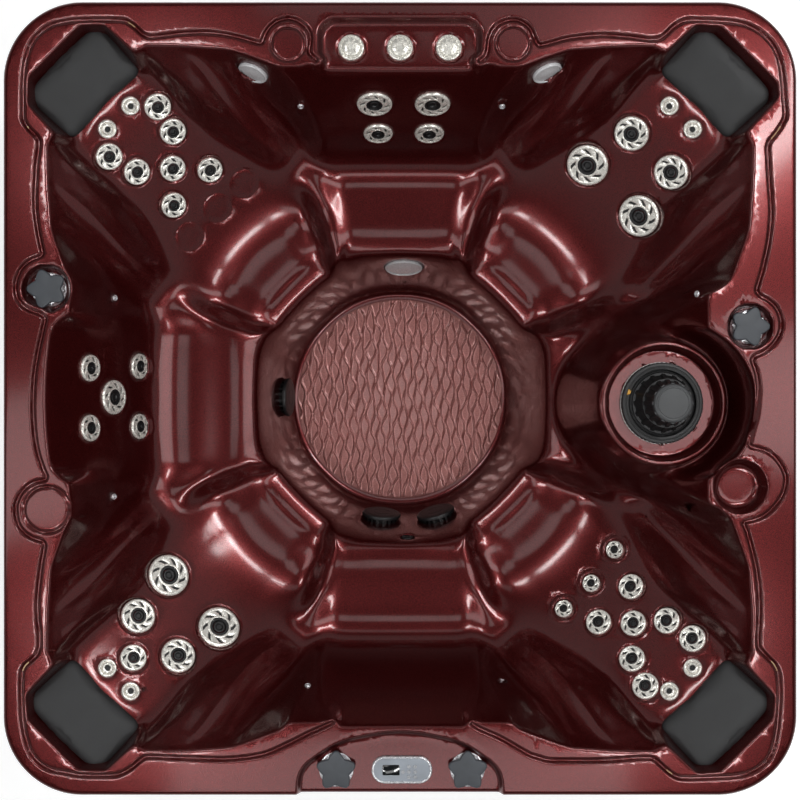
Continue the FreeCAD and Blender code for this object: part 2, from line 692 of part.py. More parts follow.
def pillow_outline(grow):
    """Plan of a pillow on its ledge, with a bowed outer edge."""
    middle = (PILLOW_LEDGE_FRONT + PILLOW_LEDGE_BACK) / 2
    front = middle - PILLOW_FRONT
    back = middle - PILLOW_BACK
    wide = PILLOW_HALF_WIDTH
    points = [(front, -wide), (back, -wide), (back + PILLOW_BULGE, 0), (back, wide), (front, wide)]
    return spread(points, grow), [26, 30, 84, 30, 26]


def pillow():
    """Headrest with drawn-in sides and a crowned top."""
    wires = []
    crown = ((PILLOW_CLEAR, -7), (6, -1.5), (13, 0), (20, -2.5), (26, -8), (30, -17), (PILLOW_THICK, -36))
    for height, grow in crown:
        points, cuts = pillow_outline(grow)
        scale = 1 + grow / 60
        wires.append(level_wire(points, [max(6.0, cut * scale) for cut in cuts], height))
    return Part.makeLoft(wires, True, True)


def pillows(tub):
    points, cuts = pillow_outline(4)
    bed = Part.Face(level_wire(points, cuts, 0)).extrude(V(0, 0, 80))
    for name, turn in PILLOW_NAMES.items():
        place = ledge_place(turn)
        for shape, keep in ((pillow(), True), (bed.copy(), False)):
            shape.Placement = place
            if keep:
                tub.add("pillow_" + name, shape)
            else:
                tub.tools.append(shape)


# Knobs and control panel
STAR_POINTS = 5
STAR_R = 47.0
STAR_WAIST_R = 32.0
STAR_THICK = 13.0
SKIRT_R = 40.0
SHAFT_R = 9.0
SHAFT_LENGTH = 52.0
VALVE_R = 33.0
VALVE_HEIGHT = 66.0
VALVE_NECK_R = 14.0
KNOB_TOP_DROP = 3.0
CONSOLE_Z = RIM - CONSOLE_DROP
KNOB_FRONT_X = 177.0
PANEL_X = 5.0
CONSOLE_ROW_Y = -HALF + 66
KNOBS = {"diverter_knob_left": (KNOB_LEFT[0], KNOB_LEFT[1], RIM - KNOB_WELL_DEPTH),
         "diverter_knob_right": (KNOB_RIGHT[0], KNOB_RIGHT[1], RIM - KNOB_WELL_DEPTH),
         "air_knob_left": (PANEL_X - KNOB_FRONT_X, CONSOLE_ROW_Y, CONSOLE_Z),
         "air_knob_right": (PANEL_X + KNOB_FRONT_X, CONSOLE_ROW_Y, CONSOLE_Z)}


def star_knob(floor):
    """Five-pointed knob on a flared skirt, with its shaft."""
    points = []
    cuts = []
    for i in range(2 * STAR_POINTS):
        angle = math.pi * i / STAR_POINTS + math.pi / 2
        radius = STAR_WAIST_R if i % 2 else STAR_R
        points.append((radius * math.cos(angle), radius * math.sin(angle)))
        cuts.append(9.0 if i % 2 else 7.0)
    top = RIM - KNOB_TOP_DROP
    star = Part.Face(level_wire(points, cuts, top - STAR_THICK)).extrude(V(0, 0, STAR_THICK))
    skirt_height = top - STAR_THICK - floor - SLIP
    skirt = Part.makeCone(SKIRT_R, STAR_WAIST_R + 2, skirt_height, V(0, 0, floor + SLIP))
    shaft = drum(SHAFT_R, floor - SHAFT_LENGTH, floor + SLIP)
    return star.fuse([skirt, shaft]).removeSplitter()


def valve_body(floor):
    """Valve below a knob, its neck passing up through the shell."""
    under = floor - SHEET
    body = drum(VALVE_R, under - VALVE_HEIGHT, under - 0.2)
    body = body.fuse(drum(VALVE_NECK_R - 0.2, under - 1, floor - 1))
    body = body.cut(drum(SHAFT_R + RUNNING_FIT, floor - SHAFT_LENGTH - 1, floor + 1))
    return body.removeSplitter()


def knobs(tub):
    for name, (x, y, floor) in KNOBS.items():
        knob = star_knob(floor)
        valve = valve_body(floor)
        for shape in (knob, valve):
            shape.translate(V(x, y, 0))
        tub.add(name, knob)
        tub.group("valve_bodies", valve)
        tub.tools.append(upright(x, y, VALVE_NECK_R, floor - 2 * SHEET, floor + 1))


PANEL_HALF_LENGTH = 82.0
PANEL_HALF_HEIGHT = 37.0
PANEL_RIM = 6.0
PANEL_PROUD = 7.0
FACE_THICK = 2.5
PANEL_BACK_DEPTH = 20.0
PANEL_BACK_INSET = 15.0
KEY_R = 5.0
KEY_FLANGE = 1.2
KEY_PROUD = 1.6
KEY_CAVITY = 7.5
KEY_GAP = 0.15
KEY_PLACES = ((19, 9), (36, 9), (3, -5), (19, -5), (36, -5), (19, -19), (36, -19))


def stadium(half_length, half_height, z0, z1):
    """Upright prism with a round-ended plan about the control panel's middle."""
    points = [(half_length, -half_height), (half_length, half_height), (-half_length, half_height),
              (-half_length, -half_height)]
    wire = level_wire(points, [half_height * 0.96] * 4, z0)
    shape = Part.Face(wire).extrude(V(0, 0, z1 - z0))
    shape.translate(V(PANEL_X, CONSOLE_ROW_Y, 0))
    return shape


def control_panel(tub):
    top = CONSOLE_Z + PANEL_PROUD
    under_face = top - FACE_THICK
    length = PANEL_HALF_LENGTH
    height = PANEL_HALF_HEIGHT
    back = PANEL_BACK_INSET
    bezel = stadium(length, height, CONSOLE_Z, top)
    bezel = bezel.fuse(stadium(length - back, height - back + 2, CONSOLE_Z - PANEL_BACK_DEPTH, CONSOLE_Z))
    bezel = bezel.cut(stadium(length - PANEL_RIM, height - PANEL_RIM, under_face, top + 1))
    face = stadium(length - PANEL_RIM - 0.1, height - PANEL_RIM - 0.1, under_face, top)
    for number, (dx, dy) in enumerate(KEY_PLACES, 1):
        x = PANEL_X + dx
        y = CONSOLE_ROW_Y + dy
        bezel = bezel.cut(upright(x, y, KEY_R + KEY_FLANGE + 0.3, under_face - KEY_CAVITY, top))
        face = face.cut(upright(x, y, KEY_R + KEY_GAP, under_face - 1, top + 1))
        key = upright(x, y, KEY_R, under_face - SLIP - 3, top + KEY_PROUD)
        key = key.fuse(upright(x, y, KEY_R + KEY_FLANGE, under_face - SLIP - 3, under_face - SLIP))
        tub.add("control_key_%d" % number, key.removeSplitter())
    tub.add("control_bezel", bezel.removeSplitter())
    tub.add("control_face", face)
    opening = stadium(length - back + 0.3, height - back + 2.3, CONSOLE_Z - 3 * SHEET, CONSOLE_Z + 1)
    tub.tools.append(opening)


# Filter
COLLAR_R = 114.0
COLLAR_HEIGHT = 18.0
COLLAR_BORE_R = 92.0
COLLAR_LEDGE_R = 80.0
CANISTER_R = 100.0
CANISTER_WALL = 4.0
CANISTER_DEPTH = 360.0
BASKET_TOP_R = 50.0
BASKET_HEIGHT = 120.0
BASKET_WALL = 3.0
BASKET_SLOTS = 16
CAP_R = 53.0
CAP_HEIGHT = 20.0
FILTER_FLOOR = RIM - FILTER_CREST_DROP - FILTER_WELL_DEPTH


def filter_set(tub):
    flange = 3.0
    x, y, z = FILTER_X, FILTER_Y, FILTER_FLOOR
    tub.tools.append(upright(x, y, CANISTER_R + SLIP, z - 3 * SHEET, z + 1))
    canister = upright(x, y, CANISTER_R, z - CANISTER_DEPTH, z + flange)
    canister = canister.fuse(upright(x, y, COLLAR_R + 2, z, z + flange))
    inside = CANISTER_R - CANISTER_WALL
    canister = canister.cut(upright(x, y, inside, z - CANISTER_DEPTH + 5, z + flange + 1))
    tub.add("filter_canister", canister.removeSplitter())
    base = z + flange
    collar = upright(x, y, COLLAR_R, base, base + COLLAR_HEIGHT)
    collar = collar.cut(upright(x, y, COLLAR_BORE_R, base + 4, base + COLLAR_HEIGHT + 1))
    collar = collar.cut(upright(x, y, COLLAR_LEDGE_R, base - 1, base + 5))
    tub.add("filter_collar", collar)
    cartridge = upright(x, y, CANISTER_R - CANISTER_WALL - 8, z - CANISTER_DEPTH + 5, z - 20)
    tub.add("filter_cartridge", cartridge.cut(upright(x, y, 28, z - CANISTER_DEPTH, z)))
    foot = base + 4 + SLIP
    ring = upright(x, y, COLLAR_BORE_R - SLIP, foot, foot + 8)
    low = COLLAR_BORE_R - 4
    outside = Part.makeCone(low, BASKET_TOP_R, BASKET_HEIGHT, V(x, y, foot))
    inside = Part.makeCone(low - BASKET_WALL, BASKET_TOP_R - BASKET_WALL, BASKET_HEIGHT, V(x, y, foot))
    basket = ring.cut(upright(x, y, low - BASKET_WALL - 1, foot - 1, foot + 9)).fuse(outside.cut(inside))
    slot = Part.makeBox(low, 9, BASKET_HEIGHT - 40, V(20, -4.5, foot + 20))
    slots = []
    for i in range(BASKET_SLOTS):
        one = turned(slot, 360.0 * i / BASKET_SLOTS)
        one.translate(V(x, y, 0))
        slots.append(one)
    tub.add("filter_basket", basket.cut(slots).removeSplitter())
    crown = foot + BASKET_HEIGHT
    cap = bevelled(CAP_R, 0, CAP_HEIGHT, 8)
    cap.translate(V(x, y, crown))
    tub.add("filter_cap", cap.removeSplitter())


# Cabinet and frame
PAN_HEIGHT = 40.0
CABINET_INSET = 15.0
PANEL_THICK = 16.0
PANEL_TOP = RIM - 34.0
BOARD_GROOVES = 5
BOARD_GROOVE = 7.0
COLUMN_THICK = 14.0
STUD_DEPTH = 38.0
STUD_WIDTH = 64.0
STUD_PLACES = (-700.0, -420.0, 420.0, 700.0)
RAIL_DROP = 180.0
SIDE_GAP = 1.0
SCREW_HEAD_R = 6.0
SCREW_SHANK_R = 2.4
PANEL_SCREWS = ((-800.0, 110.0), (800.0, 110.0), (-800.0, 820.0), (800.0, 820.0))
SPIGOT_X = 620.0
SPIGOT_Z = 82.0
SPIGOT_R = 13.5
SPIGOT_THREAD = 10.0
CABINET = HALF - CABINET_INSET
COLUMN_CENTRE = HALF - LIP_CORNER_R
PANEL_SIDES = {"front_panel": 0, "right_panel": 90, "back_panel": 180, "left_panel": 270}


def cabinet(tub):
    pan = rounded_square(CABINET + 4, LIP_CORNER_R - CABINET_INSET + 4, 0, PAN_HEIGHT)
    pan = pan.cut(rounded_square(CABINET - 70, 120, PAN_HEIGHT - 6, PAN_HEIGHT + 1))
    tub.add("base_pan", pan)
    half = COLUMN_CENTRE - SIDE_GAP
    board = Part.makeBox(2 * half, PANEL_THICK, PANEL_TOP - PAN_HEIGHT, V(-half, -CABINET, PAN_HEIGHT))
    pitch = (PANEL_TOP - PAN_HEIGHT) / (BOARD_GROOVES + 1)
    cuts = []
    for i in range(BOARD_GROOVES):
        corner = V(-half - 1, -CABINET - 1, PAN_HEIGHT + pitch * (i + 1))
        cuts.append(Part.makeBox(2 * half + 2, 5, BOARD_GROOVE, corner))
    screw = Part.makeCylinder(SCREW_HEAD_R, 3, V(0, -CABINET - 3, 0), V(0, 1, 0))
    screw = screw.fuse(Part.makeCylinder(SCREW_SHANK_R, PANEL_THICK - 2, V(0, -CABINET, 0), V(0, 1, 0)))
    for x, z in PANEL_SCREWS:
        start = V(x, -CABINET - 1, z)
        cuts.append(Part.makeCylinder(SCREW_SHANK_R + 0.1, PANEL_THICK + 2, start, V(0, 1, 0)))
    board = board.cut(cuts)
    for name, turn in PANEL_SIDES.items():
        panel = turned(board, turn)
        if name == "front_panel":
            start = V(SPIGOT_X, -CABINET - 20, SPIGOT_Z)
            panel = panel.cut(Part.makeCylinder(SPIGOT_R + 0.2, 60, start, V(0, 1, 0)))
        tub.add(name, panel)
        for x, z in PANEL_SCREWS:
            one = screw.copy()
            one.translate(V(x, 0, z))
            tub.group("panel_screws", turned(one, turn))
    outer = LIP_CORNER_R - CABINET_INSET
    height = PANEL_TOP - PAN_HEIGHT
    column = Part.makeCylinder(outer, height, V(0, 0, PAN_HEIGHT), UP, 90)
    column = column.cut(Part.makeCylinder(outer - COLUMN_THICK, height, V(0, 0, PAN_HEIGHT), UP, 90))
    column.translate(V(COLUMN_CENTRE, COLUMN_CENTRE, 0))
    for quarter in range(4):
        tub.group("corner_columns", turned(column, 90 * quarter))
    inward = V(0, 1, 0)
    flange = V(SPIGOT_X, -CABINET - 4, SPIGOT_Z)
    mouth = flange - inward * SPIGOT_THREAD
    spigot = Part.makeCylinder(SPIGOT_R, 40 + SPIGOT_THREAD, mouth, inward)
    spigot = spigot.fuse(Part.makeCylinder(SPIGOT_R + 9, 4, flange, inward))
    spigot = spigot.cut(Part.makeCylinder(SPIGOT_R - 4, 100, mouth - inward * 6, inward))
    tub.add("drain_spigot", spigot.removeSplitter())


def frame(tub):
    """Studs from the pan to the deck, joined by rails low and high."""
    outside = CABINET - PANEL_THICK
    low = PAN_HEIGHT
    high = RIM - SHEET
    reach = STUD_PLACES[-1] + STUD_WIDTH / 2
    for turn in PANEL_SIDES.values():
        for place in STUD_PLACES:
            corner = V(place - STUD_WIDTH / 2, -outside, low)
            stud = Part.makeBox(STUD_WIDTH, STUD_DEPTH, high - low, corner)
            tub.group("timber_frame", turned(stud, turn))
        for z in (low, RIM - RAIL_DROP):
            rail = Part.makeBox(2 * reach, STUD_DEPTH, STUD_WIDTH, V(-reach, STUD_DEPTH - outside, z))
            tub.group("timber_frame", turned(rail, turn))
    support = drum(FOOTWELL_FLOOR - 40, PAN_HEIGHT - 6, FLOOR_Z - SHEET)
    tub.add("footwell_support", support)


# Equipment under the front bench
FLOOR_IN = PAN_HEIGHT - 6
PUMP_X = (-420.0, 160.0)
PUMP_Y = -HALF + 310
MOTOR_R = 80.0
MOTOR_LENGTH = 250.0
WET_END_R = 100.0
WET_END_LENGTH = 90.0
PUMP_AXIS = FLOOR_IN + WET_END_R + 12
PIPE_R = 30.0
MANIFOLD_Z = 370.0
HEATER_R = 45.0
HEATER_LENGTH = 380.0
HEATER_Y = -HALF + 157
PACK = (320.0, 140.0, 270.0)


def equipment(tub):
    for x in PUMP_X:
        start = x + WET_END_LENGTH
        motor = Part.makeCylinder(MOTOR_R, MOTOR_LENGTH, V(start, PUMP_Y, PUMP_AXIS), V(1, 0, 0))
        foot_height = PUMP_AXIS - MOTOR_R * 0.6 - FLOOR_IN
        foot = Part.makeBox(120, 130, foot_height, V(start + 60, PUMP_Y - 65, FLOOR_IN))
        tub.group("pump_motors", motor.fuse(foot).removeSplitter())
        wet = Part.makeCylinder(WET_END_R, WET_END_LENGTH, V(x, PUMP_Y, PUMP_AXIS), V(1, 0, 0))
        tub.group("pump_wet_ends", wet)
        middle = x + WET_END_LENGTH / 2
        riser_foot = PUMP_AXIS + math.sqrt(WET_END_R ** 2 - PIPE_R ** 2)
        riser = upright(middle, PUMP_Y, PIPE_R, riser_foot + 4.6, MANIFOLD_Z)
        tub.group("risers", riser)
    manifold_start = PUMP_X[0] + WET_END_LENGTH / 2 - 60
    manifold_length = PUMP_X[1] - PUMP_X[0] + 120
    start = V(manifold_start, PUMP_Y, MANIFOLD_Z)
    manifold = Part.makeCylinder(PIPE_R + 6, manifold_length, start, V(1, 0, 0))
    tub.group("water_pipes", manifold.fuse(tub.groups.pop("risers")).removeSplitter())
    start = V(-HEATER_LENGTH / 2, HEATER_Y, FLOOR_IN + HEATER_R + 30)
    heater = Part.makeCylinder(HEATER_R, HEATER_LENGTH, start, V(1, 0, 0))
    for x in (-HEATER_LENGTH / 2 + 40, HEATER_LENGTH / 2 - 70):
        heater = heater.fuse(Part.makeBox(30, 60, HEATER_R + 20, V(x, HEATER_Y - 30, FLOOR_IN)))
    tub.add("heater", heater.removeSplitter())
    length, depth, height = PACK
    tub.add("control_pack", Part.makeBox(length, depth, height, V(HALF - 540, -HALF + 110, FLOOR_IN)))


def main():
    os.makedirs("parts", exist_ok=True)
    tub = Tub()
    jets(tub)
    footwell_fittings(tub)
    pillows(tub)
    knobs(tub)
    control_panel(tub)
    filter_set(tub)
    cabinet(tub)
    frame(tub)
    equipment(tub)
    tub.add("tub_shell", tub.sheet.cut(tub.tools, JOIN_TOLERANCE).Solids[0])
    for name, solids in tub.groups.items():
        tub.add(name, Part.makeCompound(solids) if len(solids) > 1 else solids[0])
    for name, shape in tub.nodes.items():
        shape.exportStep("parts/" + name + ".step")
        state = "valid" if shape.isValid() else "NOT VALID"
        print(name, len(shape.Solids), state, round(shape.Volume / 1000, 1))
    print(len(tub.nodes), "nodes")


if __name__ == "__main__":
    main()
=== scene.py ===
"""Looks of a square acrylic hot tub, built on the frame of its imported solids."""
from __future__ import annotations

import json
import logging
import math
from dataclasses import dataclass, field
from enum import Enum
from functools import partial

import bpy
import numpy as np
from mathutils import Matrix, Vector
from mathutils.bvhtree import BVHTree

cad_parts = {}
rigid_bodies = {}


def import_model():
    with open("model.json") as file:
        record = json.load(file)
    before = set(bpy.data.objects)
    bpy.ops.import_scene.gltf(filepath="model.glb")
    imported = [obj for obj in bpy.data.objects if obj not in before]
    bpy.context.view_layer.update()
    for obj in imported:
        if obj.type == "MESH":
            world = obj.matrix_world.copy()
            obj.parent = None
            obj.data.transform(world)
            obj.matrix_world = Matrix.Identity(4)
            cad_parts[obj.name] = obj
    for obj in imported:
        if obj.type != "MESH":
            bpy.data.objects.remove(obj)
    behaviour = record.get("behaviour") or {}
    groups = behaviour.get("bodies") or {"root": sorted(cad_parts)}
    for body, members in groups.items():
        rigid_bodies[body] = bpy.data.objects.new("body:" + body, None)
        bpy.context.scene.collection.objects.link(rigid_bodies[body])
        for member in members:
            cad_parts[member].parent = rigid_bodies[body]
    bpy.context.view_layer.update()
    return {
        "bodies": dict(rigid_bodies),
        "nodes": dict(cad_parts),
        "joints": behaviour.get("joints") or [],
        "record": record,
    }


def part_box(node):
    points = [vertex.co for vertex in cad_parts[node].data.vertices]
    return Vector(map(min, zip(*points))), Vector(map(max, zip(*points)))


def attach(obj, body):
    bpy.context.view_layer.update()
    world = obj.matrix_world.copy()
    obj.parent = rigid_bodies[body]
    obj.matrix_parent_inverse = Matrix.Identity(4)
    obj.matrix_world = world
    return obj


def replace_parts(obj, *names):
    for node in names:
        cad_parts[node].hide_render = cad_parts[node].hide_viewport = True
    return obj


LOG = logging.getLogger("hot_tub")
UP = Vector((0.0, 0.0, 1.0))
ROOT = "tub"
MM = 0.001
TINY = 1e-9
DIAGONAL = math.sqrt(2)
CORNERS = ((1, 1), (1, -1), (-1, 1), (-1, -1))
PAD_RADIUS = 0.046
POCKET_MARGIN = 0.002
POCKET_FILLET = 0.004

Triple = tuple[float, float, float]
Pair = tuple[float, float]
Plan = tuple[tuple[int, int], ...]
Profile = list[Pair]
Faces = list[tuple[int, ...]]
Pocket = tuple[Matrix, float, float]
RingLine = tuple[float, float, float, float, float]
Array = np.ndarray
Solid = tuple[Array, Array]
Socket = bpy.types.NodeSocket
Material = bpy.types.Material
Mesh = bpy.types.Mesh
Thing = bpy.types.Object


class Grain(Enum):
    """How the surface of a moulded finish is broken up."""

    SMOOTH = "smooth"
    PEBBLE = "pebble"


def wired(tree: bpy.types.NodeTree, kinds: dict[str, str], links: tuple[tuple, ...]) -> dict[str, bpy.types.Node]:
    """Adds nodes to a tree and joins them.

    Args:
        tree: the node tree.
        kinds: each node's kind by a short name.
        links: source node and socket, target node and socket.

    Returns:
        The new nodes by their short names.
    """
    nodes = {name: tree.nodes.new(kind) for name, kind in kinds.items()}
    for source, leaving, target, entering in links:
        tree.links.new(nodes[source].outputs[leaving], nodes[target].inputs[entering])
    return nodes


class NodeBoard:
    """Short hand for building a material's node tree."""

    MIX_FIRST = 6
    MIX_SECOND = 7
    MIX_RESULT = 2

    def __init__(self, name: str) -> None:
        """Starts an empty material with an output and a principled shader."""
        self.material = bpy.data.materials.new(name)
        self.material.use_nodes = True
        self.tree = self.material.node_tree
        self.tree.nodes.clear()
        self.shader = self.tree.nodes.new("ShaderNodeBsdfPrincipled")
        output = self.tree.nodes.new("ShaderNodeOutputMaterial")
        self.link(self.shader.outputs["BSDF"], output.inputs["Surface"])
        coords = self.tree.nodes.new("ShaderNodeTexCoord")
        self.place = coords.outputs["Object"]

    def node(self, kind: str, **settings: object) -> bpy.types.Node:
        """Adds a node; settings are its properties."""
        made = self.tree.nodes.new(kind)
        for key, value in settings.items():
            setattr(made, key, value)
        return made

    def link(self, source: Socket, target: Socket) -> None:
        """Joins two sockets."""
        self.tree.links.new(source, target)

    def noise(self, scale: float, detail: float, stretch: Triple = (1, 1, 1)) -> Socket:
        """Noise over the object's own coordinates.

        Args:
            scale: features per metre.
            detail: octaves of finer features.
            stretch: scale along each axis.

        Returns:
            The noise's value socket.
        """
        mapping = self.node("ShaderNodeMapping")
        mapping.inputs["Scale"].default_value = stretch
        self.link(self.place, mapping.inputs["Vector"])
        made = self.node("ShaderNodeTexNoise")
        made.inputs["Scale"].default_value = scale
        made.inputs["Detail"].default_value = detail
        self.link(mapping.outputs["Vector"], made.inputs["Vector"])
        return made.outputs["Fac"]

    def cells(self, scale: float) -> Socket:
        """Random grey value in each small cell."""
        made = self.node("ShaderNodeTexVoronoi")
        made.inputs["Scale"].default_value = scale
        self.link(self.place, made.inputs["Vector"])
        return made.outputs["Color"]

    def ramp(self, value: Socket, low: float, high: float, start: float, end: float) -> Socket:
        """Remaps a value from low..high to start..end, clamped."""
        made = self.node("ShaderNodeMapRange")
        for key, number in (("From Min", low), ("From Max", high), ("To Min", start), ("To Max", end)):
            made.inputs[key].default_value = number
        self.link(value, made.inputs["Value"])
        return made.outputs["Result"]

    def mix(self, factor: Socket, first: Triple, second: Triple) -> Socket:
        """Blend of two colours by a factor socket; a mix node's colour sockets are known by their places."""
        made = self.node("ShaderNodeMix", data_type="RGBA")
        self.link(factor, made.inputs["Factor"])
        made.inputs[self.MIX_FIRST].default_value = (*first, 1.0)
        made.inputs[self.MIX_SECOND].default_value = (*second, 1.0)
        return made.outputs[self.MIX_RESULT]

    def colour(self, socket: Socket) -> None:
        """Drives the base colour."""
        self.link(socket, self.shader.inputs["Base Color"])

    def roughness(self, socket: Socket) -> None:
        """Drives the roughness."""
        self.link(socket, self.shader.inputs["Roughness"])

    def bump(self, height: Socket, depth: float, strength: float) -> None:
        """Adds fine relief to the shader's normal."""
        made = self.node("ShaderNodeBump")
        made.inputs["Distance"].default_value = depth
        made.inputs["Strength"].default_value = strength
        self.link(height, made.inputs["Height"])
        self.link(made.outputs["Normal"], self.shader.inputs["Normal"])

    def set(self, **values: object) -> None:
        """Sets plain values on the shader's sockets, named with underscores."""
        for key, value in values.items():
            self.shader.inputs[key.replace("_", " ")].default_value = value


def tinted(colour: Triple, factor: float) -> Triple:
    """A colour made lighter or darker by a factor."""
    return tuple(min(1.0, c * factor) for c in colour)


@dataclass(frozen=True)
class MetallicAcrylic:
    """Polished acrylic sheet with metal flake under a clear gloss."""

    name: str
    deep: Triple
    flake: Triple
    metallic: float
    roughness: float
    flake_scale: float = 1300.0
    flake_depth: float = 0.00004
    cloud_scale: float = 7.0
    coat_roughness: float = 0.115
    coat_ior: float = 1.39

    def material(self) -> Material:
        """Makes the material."""
        board = NodeBoard(self.name)
        sparkle = board.cells(self.flake_scale)
        separate = board.node("ShaderNodeSeparateColor")
        board.link(sparkle, separate.inputs["Color"])
        cloud = board.noise(self.cloud_scale, 4.0)
        factor = board.node("ShaderNodeMath", operation="MULTIPLY_ADD")
        board.link(board.ramp(separate.outputs["Red"], 0.2, 1.0, 0.15, 0.75), factor.inputs[0])
        board.link(board.ramp(cloud, 0.3, 0.7, 0.88, 1.06), factor.inputs[1])
        factor.inputs[2].default_value = 0.03
        board.colour(board.mix(factor.outputs["Value"], self.deep, self.flake))
        rough = board.ramp(separate.outputs["Green"], 0.0, 1.0, self.roughness * 0.8, self.roughness * 1.25)
        board.roughness(rough)
        board.bump(separate.outputs["Blue"], self.flake_depth, 0.2)
        board.set(Metallic=self.metallic, Coat_Weight=1.0, Coat_Roughness=self.coat_roughness, Coat_IOR=self.coat_ior)
        return board.material


@dataclass(frozen=True)
class Moulded:
    """Moulded plastic, painted or cast surface with a grain."""

    name: str
    colour: Triple
    roughness: float
    grain: Grain = Grain.PEBBLE
    grain_scale: float = 700.0
    grain_depth: float = 0.0002
    metallic: float = 0.0
    coat: float = 0.0
    cloud_scale: float = 18.0
    coat_roughness: float = 0.08

    def material(self) -> Material:
        """Makes the material."""
        board = NodeBoard(self.name)
        cloud = board.ramp(board.noise(self.cloud_scale, 5.0), 0.3, 0.72, 0.0, 1.0)
        board.colour(board.mix(cloud, tinted(self.colour, 0.84), tinted(self.colour, 1.14)))
        fine = board.noise(self.grain_scale, 3.0)
        rough = board.ramp(fine, 0.3, 0.7, self.roughness * 0.85, min(1.0, self.roughness * 1.18))
        board.roughness(rough)
        if self.grain is not Grain.SMOOTH:
            board.bump(fine, self.grain_depth, 0.5)
        board.set(Metallic=self.metallic, Coat_Weight=self.coat, Coat_Roughness=self.coat_roughness)
        return board.material


@dataclass(frozen=True)
class Board:
    """Sawn or embossed board with long fibres along one axis."""

    name: str
    dark: Triple
    light: Triple
    roughness: float
    depth: float
    stretch: Triple

    def material(self) -> Material:
        """Makes the material."""
        board = NodeBoard(self.name)
        fibre = board.noise(60.0, 7.0, self.stretch)
        broad = board.noise(14.0, 4.0, self.stretch)
        both = board.node("ShaderNodeMath", operation="MULTIPLY")
        board.link(fibre, both.inputs[0])
        board.link(broad, both.inputs[1])
        streak = board.ramp(both.outputs["Value"], 0.12, 0.42, 0.0, 1.0)
        board.colour(board.mix(streak, self.dark, self.light))
        board.roughness(board.ramp(fibre, 0.3, 0.7, self.roughness * 0.85, self.roughness * 1.1))
        board.bump(fibre, self.depth, 0.8)
        return board.material


@dataclass(frozen=True)
class Plated:
    """Bright plated trim with a faint haze of handling."""

    name: str
    colour: Triple
    roughness: float
    metallic: float = 1.0

    def material(self) -> Material:
        """Makes the material."""
        board = NodeBoard(self.name)
        haze = board.noise(90.0, 4.0)
        cloud = board.ramp(haze, 0.35, 0.7, 0.0, 1.0)
        board.colour(board.mix(cloud, tinted(self.colour, 0.9), tinted(self.colour, 1.05)))
        board.roughness(board.ramp(haze, 0.3, 0.75, self.roughness * 0.7, self.roughness * 1.6))
        board.set(Metallic=self.metallic)
        return board.material


@dataclass(frozen=True)
class Lens:
    """Frosted lens of a lamp, with fine prisms."""

    name: str
    colour: Triple

    def material(self) -> Material:
        """Makes the material."""
        board = NodeBoard(self.name)
        frost = board.noise(420.0, 2.0)
        board.colour(board.mix(frost, tinted(self.colour, 0.8), tinted(self.colour, 1.15)))
        board.roughness(board.ramp(frost, 0.3, 0.7, 0.16, 0.34))
        board.bump(frost, 0.0002, 0.4)
        board.set(Coat_Weight=0.6, Coat_Roughness=0.05)
        return board.material


FINISHES = (
    MetallicAcrylic("acrylic_red", (0.033, 0.0016, 0.0017), (0.158, 0.0132, 0.0138), 0.82, 0.285),
    # Lighter, paler copy of the red acrylic for the footwell floor: painted light, for the floor's brighter look where
    # the lamps fall on it.
    MetallicAcrylic("acrylic_floor_painted_light", (0.16, 0.047, 0.043), (0.46, 0.20, 0.18), 0.62, 0.30),
    Moulded("pillow_foam", (0.0135, 0.0138, 0.0146), 0.58, grain_scale=900.0, grain_depth=0.00025),
    Plated("jet_chrome", (0.80, 0.78, 0.72), 0.24, 0.55),
    Moulded("knob_slate", (0.042, 0.047, 0.055), 0.5, grain_scale=1400.0, grain_depth=0.0001),
    Moulded("key_grey", (0.30, 0.31, 0.33), 0.42, grain_scale=1600.0, grain_depth=0.00006),
    Plated("bezel_silver", (0.66, 0.66, 0.68), 0.26, 0.7),
    Moulded("panel_face", (0.20, 0.225, 0.26), 0.30, Grain.SMOOTH, 900.0, 0.0, 0.0, 0.4),
    Moulded("panel_window", (0.006, 0.007, 0.008), 0.12, Grain.SMOOTH, 900.0, 0.0, 0.0, 0.8),
    Moulded("pipe_white", (0.72, 0.72, 0.70), 0.34, Grain.PEBBLE, 500.0, 0.0001),
    Moulded("black_plastic", (0.006, 0.006, 0.0065), 0.46, Grain.PEBBLE, 1100.0, 0.0001),
    Board("filter_fabric", (0.55, 0.55, 0.52), (0.80, 0.80, 0.77), 0.9, 0.0004, (1.0, 1.0, 0.06)),
    Moulded("cap_grey", (0.040, 0.042, 0.044), 0.46, Grain.PEBBLE, 900.0, 0.00012),
    Moulded("tab_yellow", (0.55, 0.27, 0.02), 0.45, Grain.PEBBLE, 900.0, 0.0001),
    Moulded("base_black", (0.016, 0.016, 0.018), 0.58, Grain.PEBBLE, 600.0, 0.0003),
    Board("cabinet_grey", (0.030, 0.031, 0.034), (0.085, 0.086, 0.09), 0.62, 0.0006, (0.05, 0.05, 1.0)),
    Board("timber", (0.28, 0.165, 0.085), (0.56, 0.39, 0.23), 0.8, 0.0005, (0.06, 0.06, 0.5)),
    Plated("steel", (0.56, 0.56, 0.57), 0.32),
    Lens("lens_white", (0.50, 0.50, 0.51)),
    Moulded("motor_paint", (0.022, 0.022, 0.026), 0.4, Grain.PEBBLE, 700.0, 0.0002, 0.0, 0.3),
)


class Finishes:
    """All the materials by the name of their slot."""

    def __init__(self) -> None:
        """Makes every material once."""
        self.made = {finish.name: finish.material() for finish in FINISHES}

    def __getitem__(self, slot: str) -> Material:
        """The material of a slot."""
        return self.made[slot]

    def dress(self, frame: dict) -> None:
        """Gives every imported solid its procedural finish.
        """
        for part in frame["record"]["subparts"]:
            target = frame["nodes"][part["node"]]
            target.data.materials.clear()
            target.data.materials.append(self.made[part["material_slot"]])


